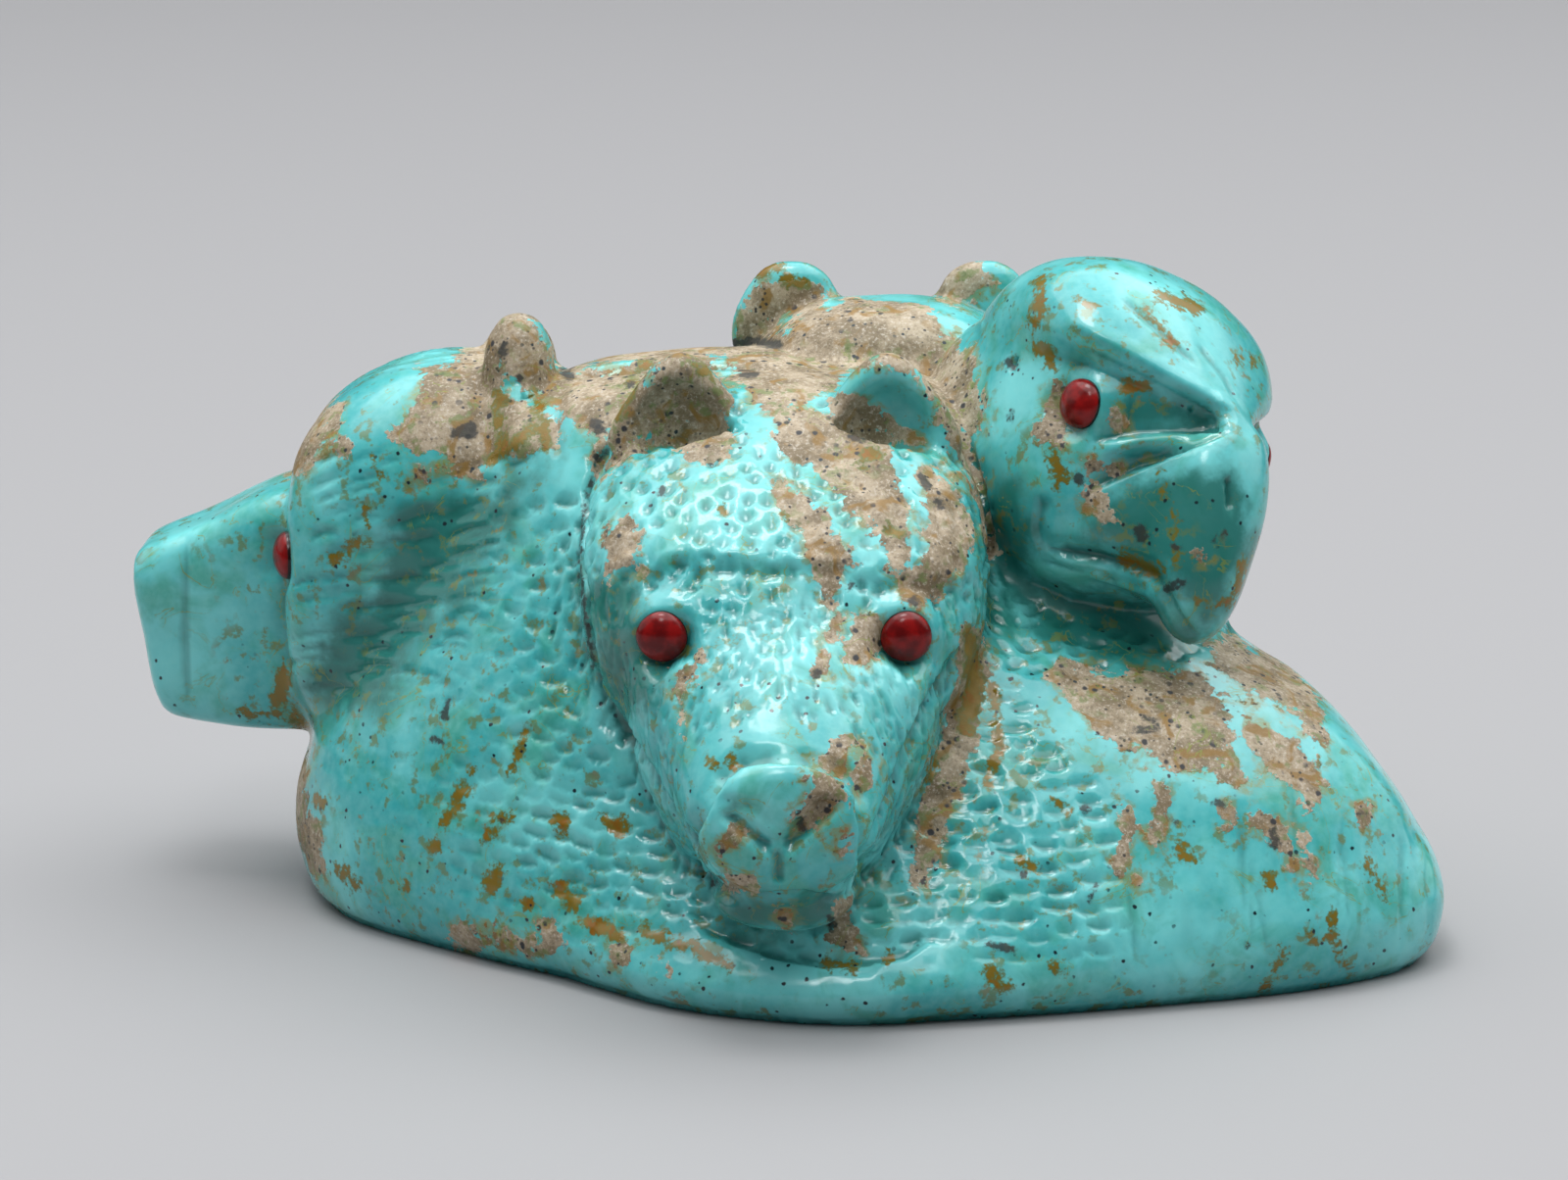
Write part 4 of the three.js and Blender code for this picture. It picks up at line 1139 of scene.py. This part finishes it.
# %% The stains over both
off_middle = add(tree, "Math", {"operation": "COMPARE"}, {0: pattern["threads"], 1: 0.5, 2: 0.006})
some = add(tree, "MapRange", SMOOTH_STEP, {0: pattern["drift"], 1: 0.48, 2: 0.6, 4: 0.6})
thread = add(tree, "Math", TIMES, {0: off_middle, 1: some})
blotted = add(tree, "MapRange", SMOOTH_STEP, {0: pattern["blots"], 1: 0.55, 2: 0.64, 4: 0.75})
places_for_blots = add(tree, "MapRange", SMOOTH_STEP, {0: pattern["clouds"], 1: 0.6, 2: 0.48})
blot = add(tree, "Math", TIMES, {0: blotted, 1: places_for_blots})
rust_border = wandering("rust", (0.8, 0.3), (0.25, 0.2))
rust_middle = coated("#7A641C", (ochre, "#865610"))
rust_paint = coated("#5E6C38", (rust_border, rust_middle, -0.04, 0.2, 1))
dirty = add(tree, "MapRange", SMOOTH_STEP, {0: wandering("dark", (0.4, 0.1), (0.16, 0.07)), 1: -0.08, 2: 0.1, 4: 0.9})
colour = coated(
    blue, (rocky, tan), (thread, "#7C8A34"), (blot, coated("#64763C", (ochre, "#80692A"))),
    (rust_border, rust_paint, -0.2, 0.06, 1), (specks(0.62, 0.1, 0.4, 3.4), "#12262C"),
    (dirty, coated("#1D2220", (ochre, "#33291A"))),
)

# %% [markdown]
# The turquoise takes a high polish. The softer rock and the dirt in the cracks stay dull, and the grains of
# the rock stand proud.

# %% The polish
dull = add(tree, "Math", {"operation": "MAXIMUM"}, {0: rocky, 1: dirty})
gloss = add(tree, "MapRange", {}, {0: dull, 3: 0.18, 4: 0.62})
proud = add(tree, "Math", TIMES, {0: pattern["grain"], 1: rocky})
waxy = add(tree, "Math", PLUS, {0: pattern["fine"], 1: 0.25, 2: proud})
bump = add(tree, "Bump", {}, {"Strength": 0.45, "Distance": 0.06 * MM, "Height": waxy})
stone_shader = {"Base Color": colour, "Roughness": gloss, "Specular IOR Level": 0.42, "IOR": 1.61, "Normal": bump}
surface = add(tree, "BsdfPrincipled", {}, stone_shader)
add(tree, "OutputMaterial", {}, {"Surface": surface})

# %% [markdown]
# Coral polishes to a deep, slightly uneven blood red with a wet shine. The adhesive shows as a thin dark line
# where the bead leaves the stone.

# %% Polished coral
coral, tree = new_material("coral_polished")
place = add(tree, "TexCoord", {}, {}, "Object")
bands = add(tree, "TexNoise", {}, {"Vector": place, "Scale": 1 / (0.7 * MM), "Detail": 4})
height = add(tree, "Attribute", {"attribute_name": "height"}, {}, "Fac")
red = coated("#5E0304", (bands, "#8A0C0B", 0.36, 0.66, 1), (height, "#1B0C0A", 0.16, 0.07, 1))
bump = add(tree, "Bump", {}, {"Strength": 0.3, "Distance": 0.04 * MM, "Height": bands})
coral_shader = {"Base Color": red, "Normal": bump, "Roughness": 0.2, "Specular IOR Level": 0.35, "IOR": 1.5}
surface = add(tree, "BsdfPrincipled", {}, coral_shader)
add(tree, "OutputMaterial", {}, {"Surface": surface})

# %% [markdown]
# The carved stone takes the place of its solid, as each bead has done already. Every piece rides on the frame's
# one body.

# %% The pieces get their finish and ride on the frame
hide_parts("turquoise_carving")
for piece, material, slot in [(stone, turquoise, "turquoise"), *[(bead, coral, "coral") for bead in beads]]:
    piece.data.materials.clear()
    piece.data.materials.append(material)
    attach(piece, "root")

# %% [markdown]
# The carving stands on a plain pale table. A wide soft light hangs above and a little behind, and one stands on
# each side. Two small ones, above and high in front, draw the bright rims on the punch marks. The room is
# brighter overhead than at eye height, which keeps the colours of upright faces deep.

# %% The table and the lights
table_top, tree = new_material("pale_table")
surface = add(tree, "BsdfPrincipled", {}, {"Base Color": "#969698", "Roughness": 0.6})
add(tree, "OutputMaterial", {}, {"Surface": surface})
TABLE_WIDTH, TABLE_MIDDLE, TABLE_SUNK = 6, 2, 0.02 * MM
bpy.ops.mesh.primitive_plane_add(size=TABLE_WIDTH, location=(0, TABLE_MIDDLE, -TABLE_SUNK))
table = bpy.context.active_object
table.name = "table"
table.data.materials.append(table_top)
# Each soft light's place and width in metres, and its power in watts.
LIGHTS = [
    ("overhead", (0.03, 0.06, 0.48), 0.9, 4.4), ("glint", (-0.06, 0.0, 0.5), 0.18, 0.7),
    ("left", (-0.4, 0.12, 0.34), 0.7, 0.8), ("right", (0.4, 0.14, 0.34), 0.7, 1.1),
    ("front_glint", (-0.08, -0.3, 0.42), 0.12, 0.3),
]
for name, location, size, power in LIGHTS:
    lamp = bpy.data.lights.new(name, "AREA")
    lamp.shape, lamp.size, lamp.energy = "DISK", size, power
    holder = new_object(name, lamp)
    holder.location = location
    holder.rotation_euler = (LOOKED_AT * MM - holder.location).to_track_quat("-Z", "Y").to_euler()
world = bpy.data.worlds.new("studio")
bpy.context.scene.world = world
world.use_nodes = True
tree = world.node_tree
tree.nodes.clear()
direction = add(tree, "TexCoord", {}, {}, "Generated")
upwards = add(tree, "SeparateXYZ", {}, {"Vector": direction}, "Z")
strength = add(tree, "MapRange", {}, {0: upwards, 1: 0.0, 2: 1.0, 3: 0.1, 4: 0.45})
sky = add(tree, "Background", {}, {"Color": "#D5D8DC", "Strength": strength})
add(tree, "OutputWorld", {}, {"Surface": sky})
bpy.context.scene.view_settings.view_transform = "Standard"
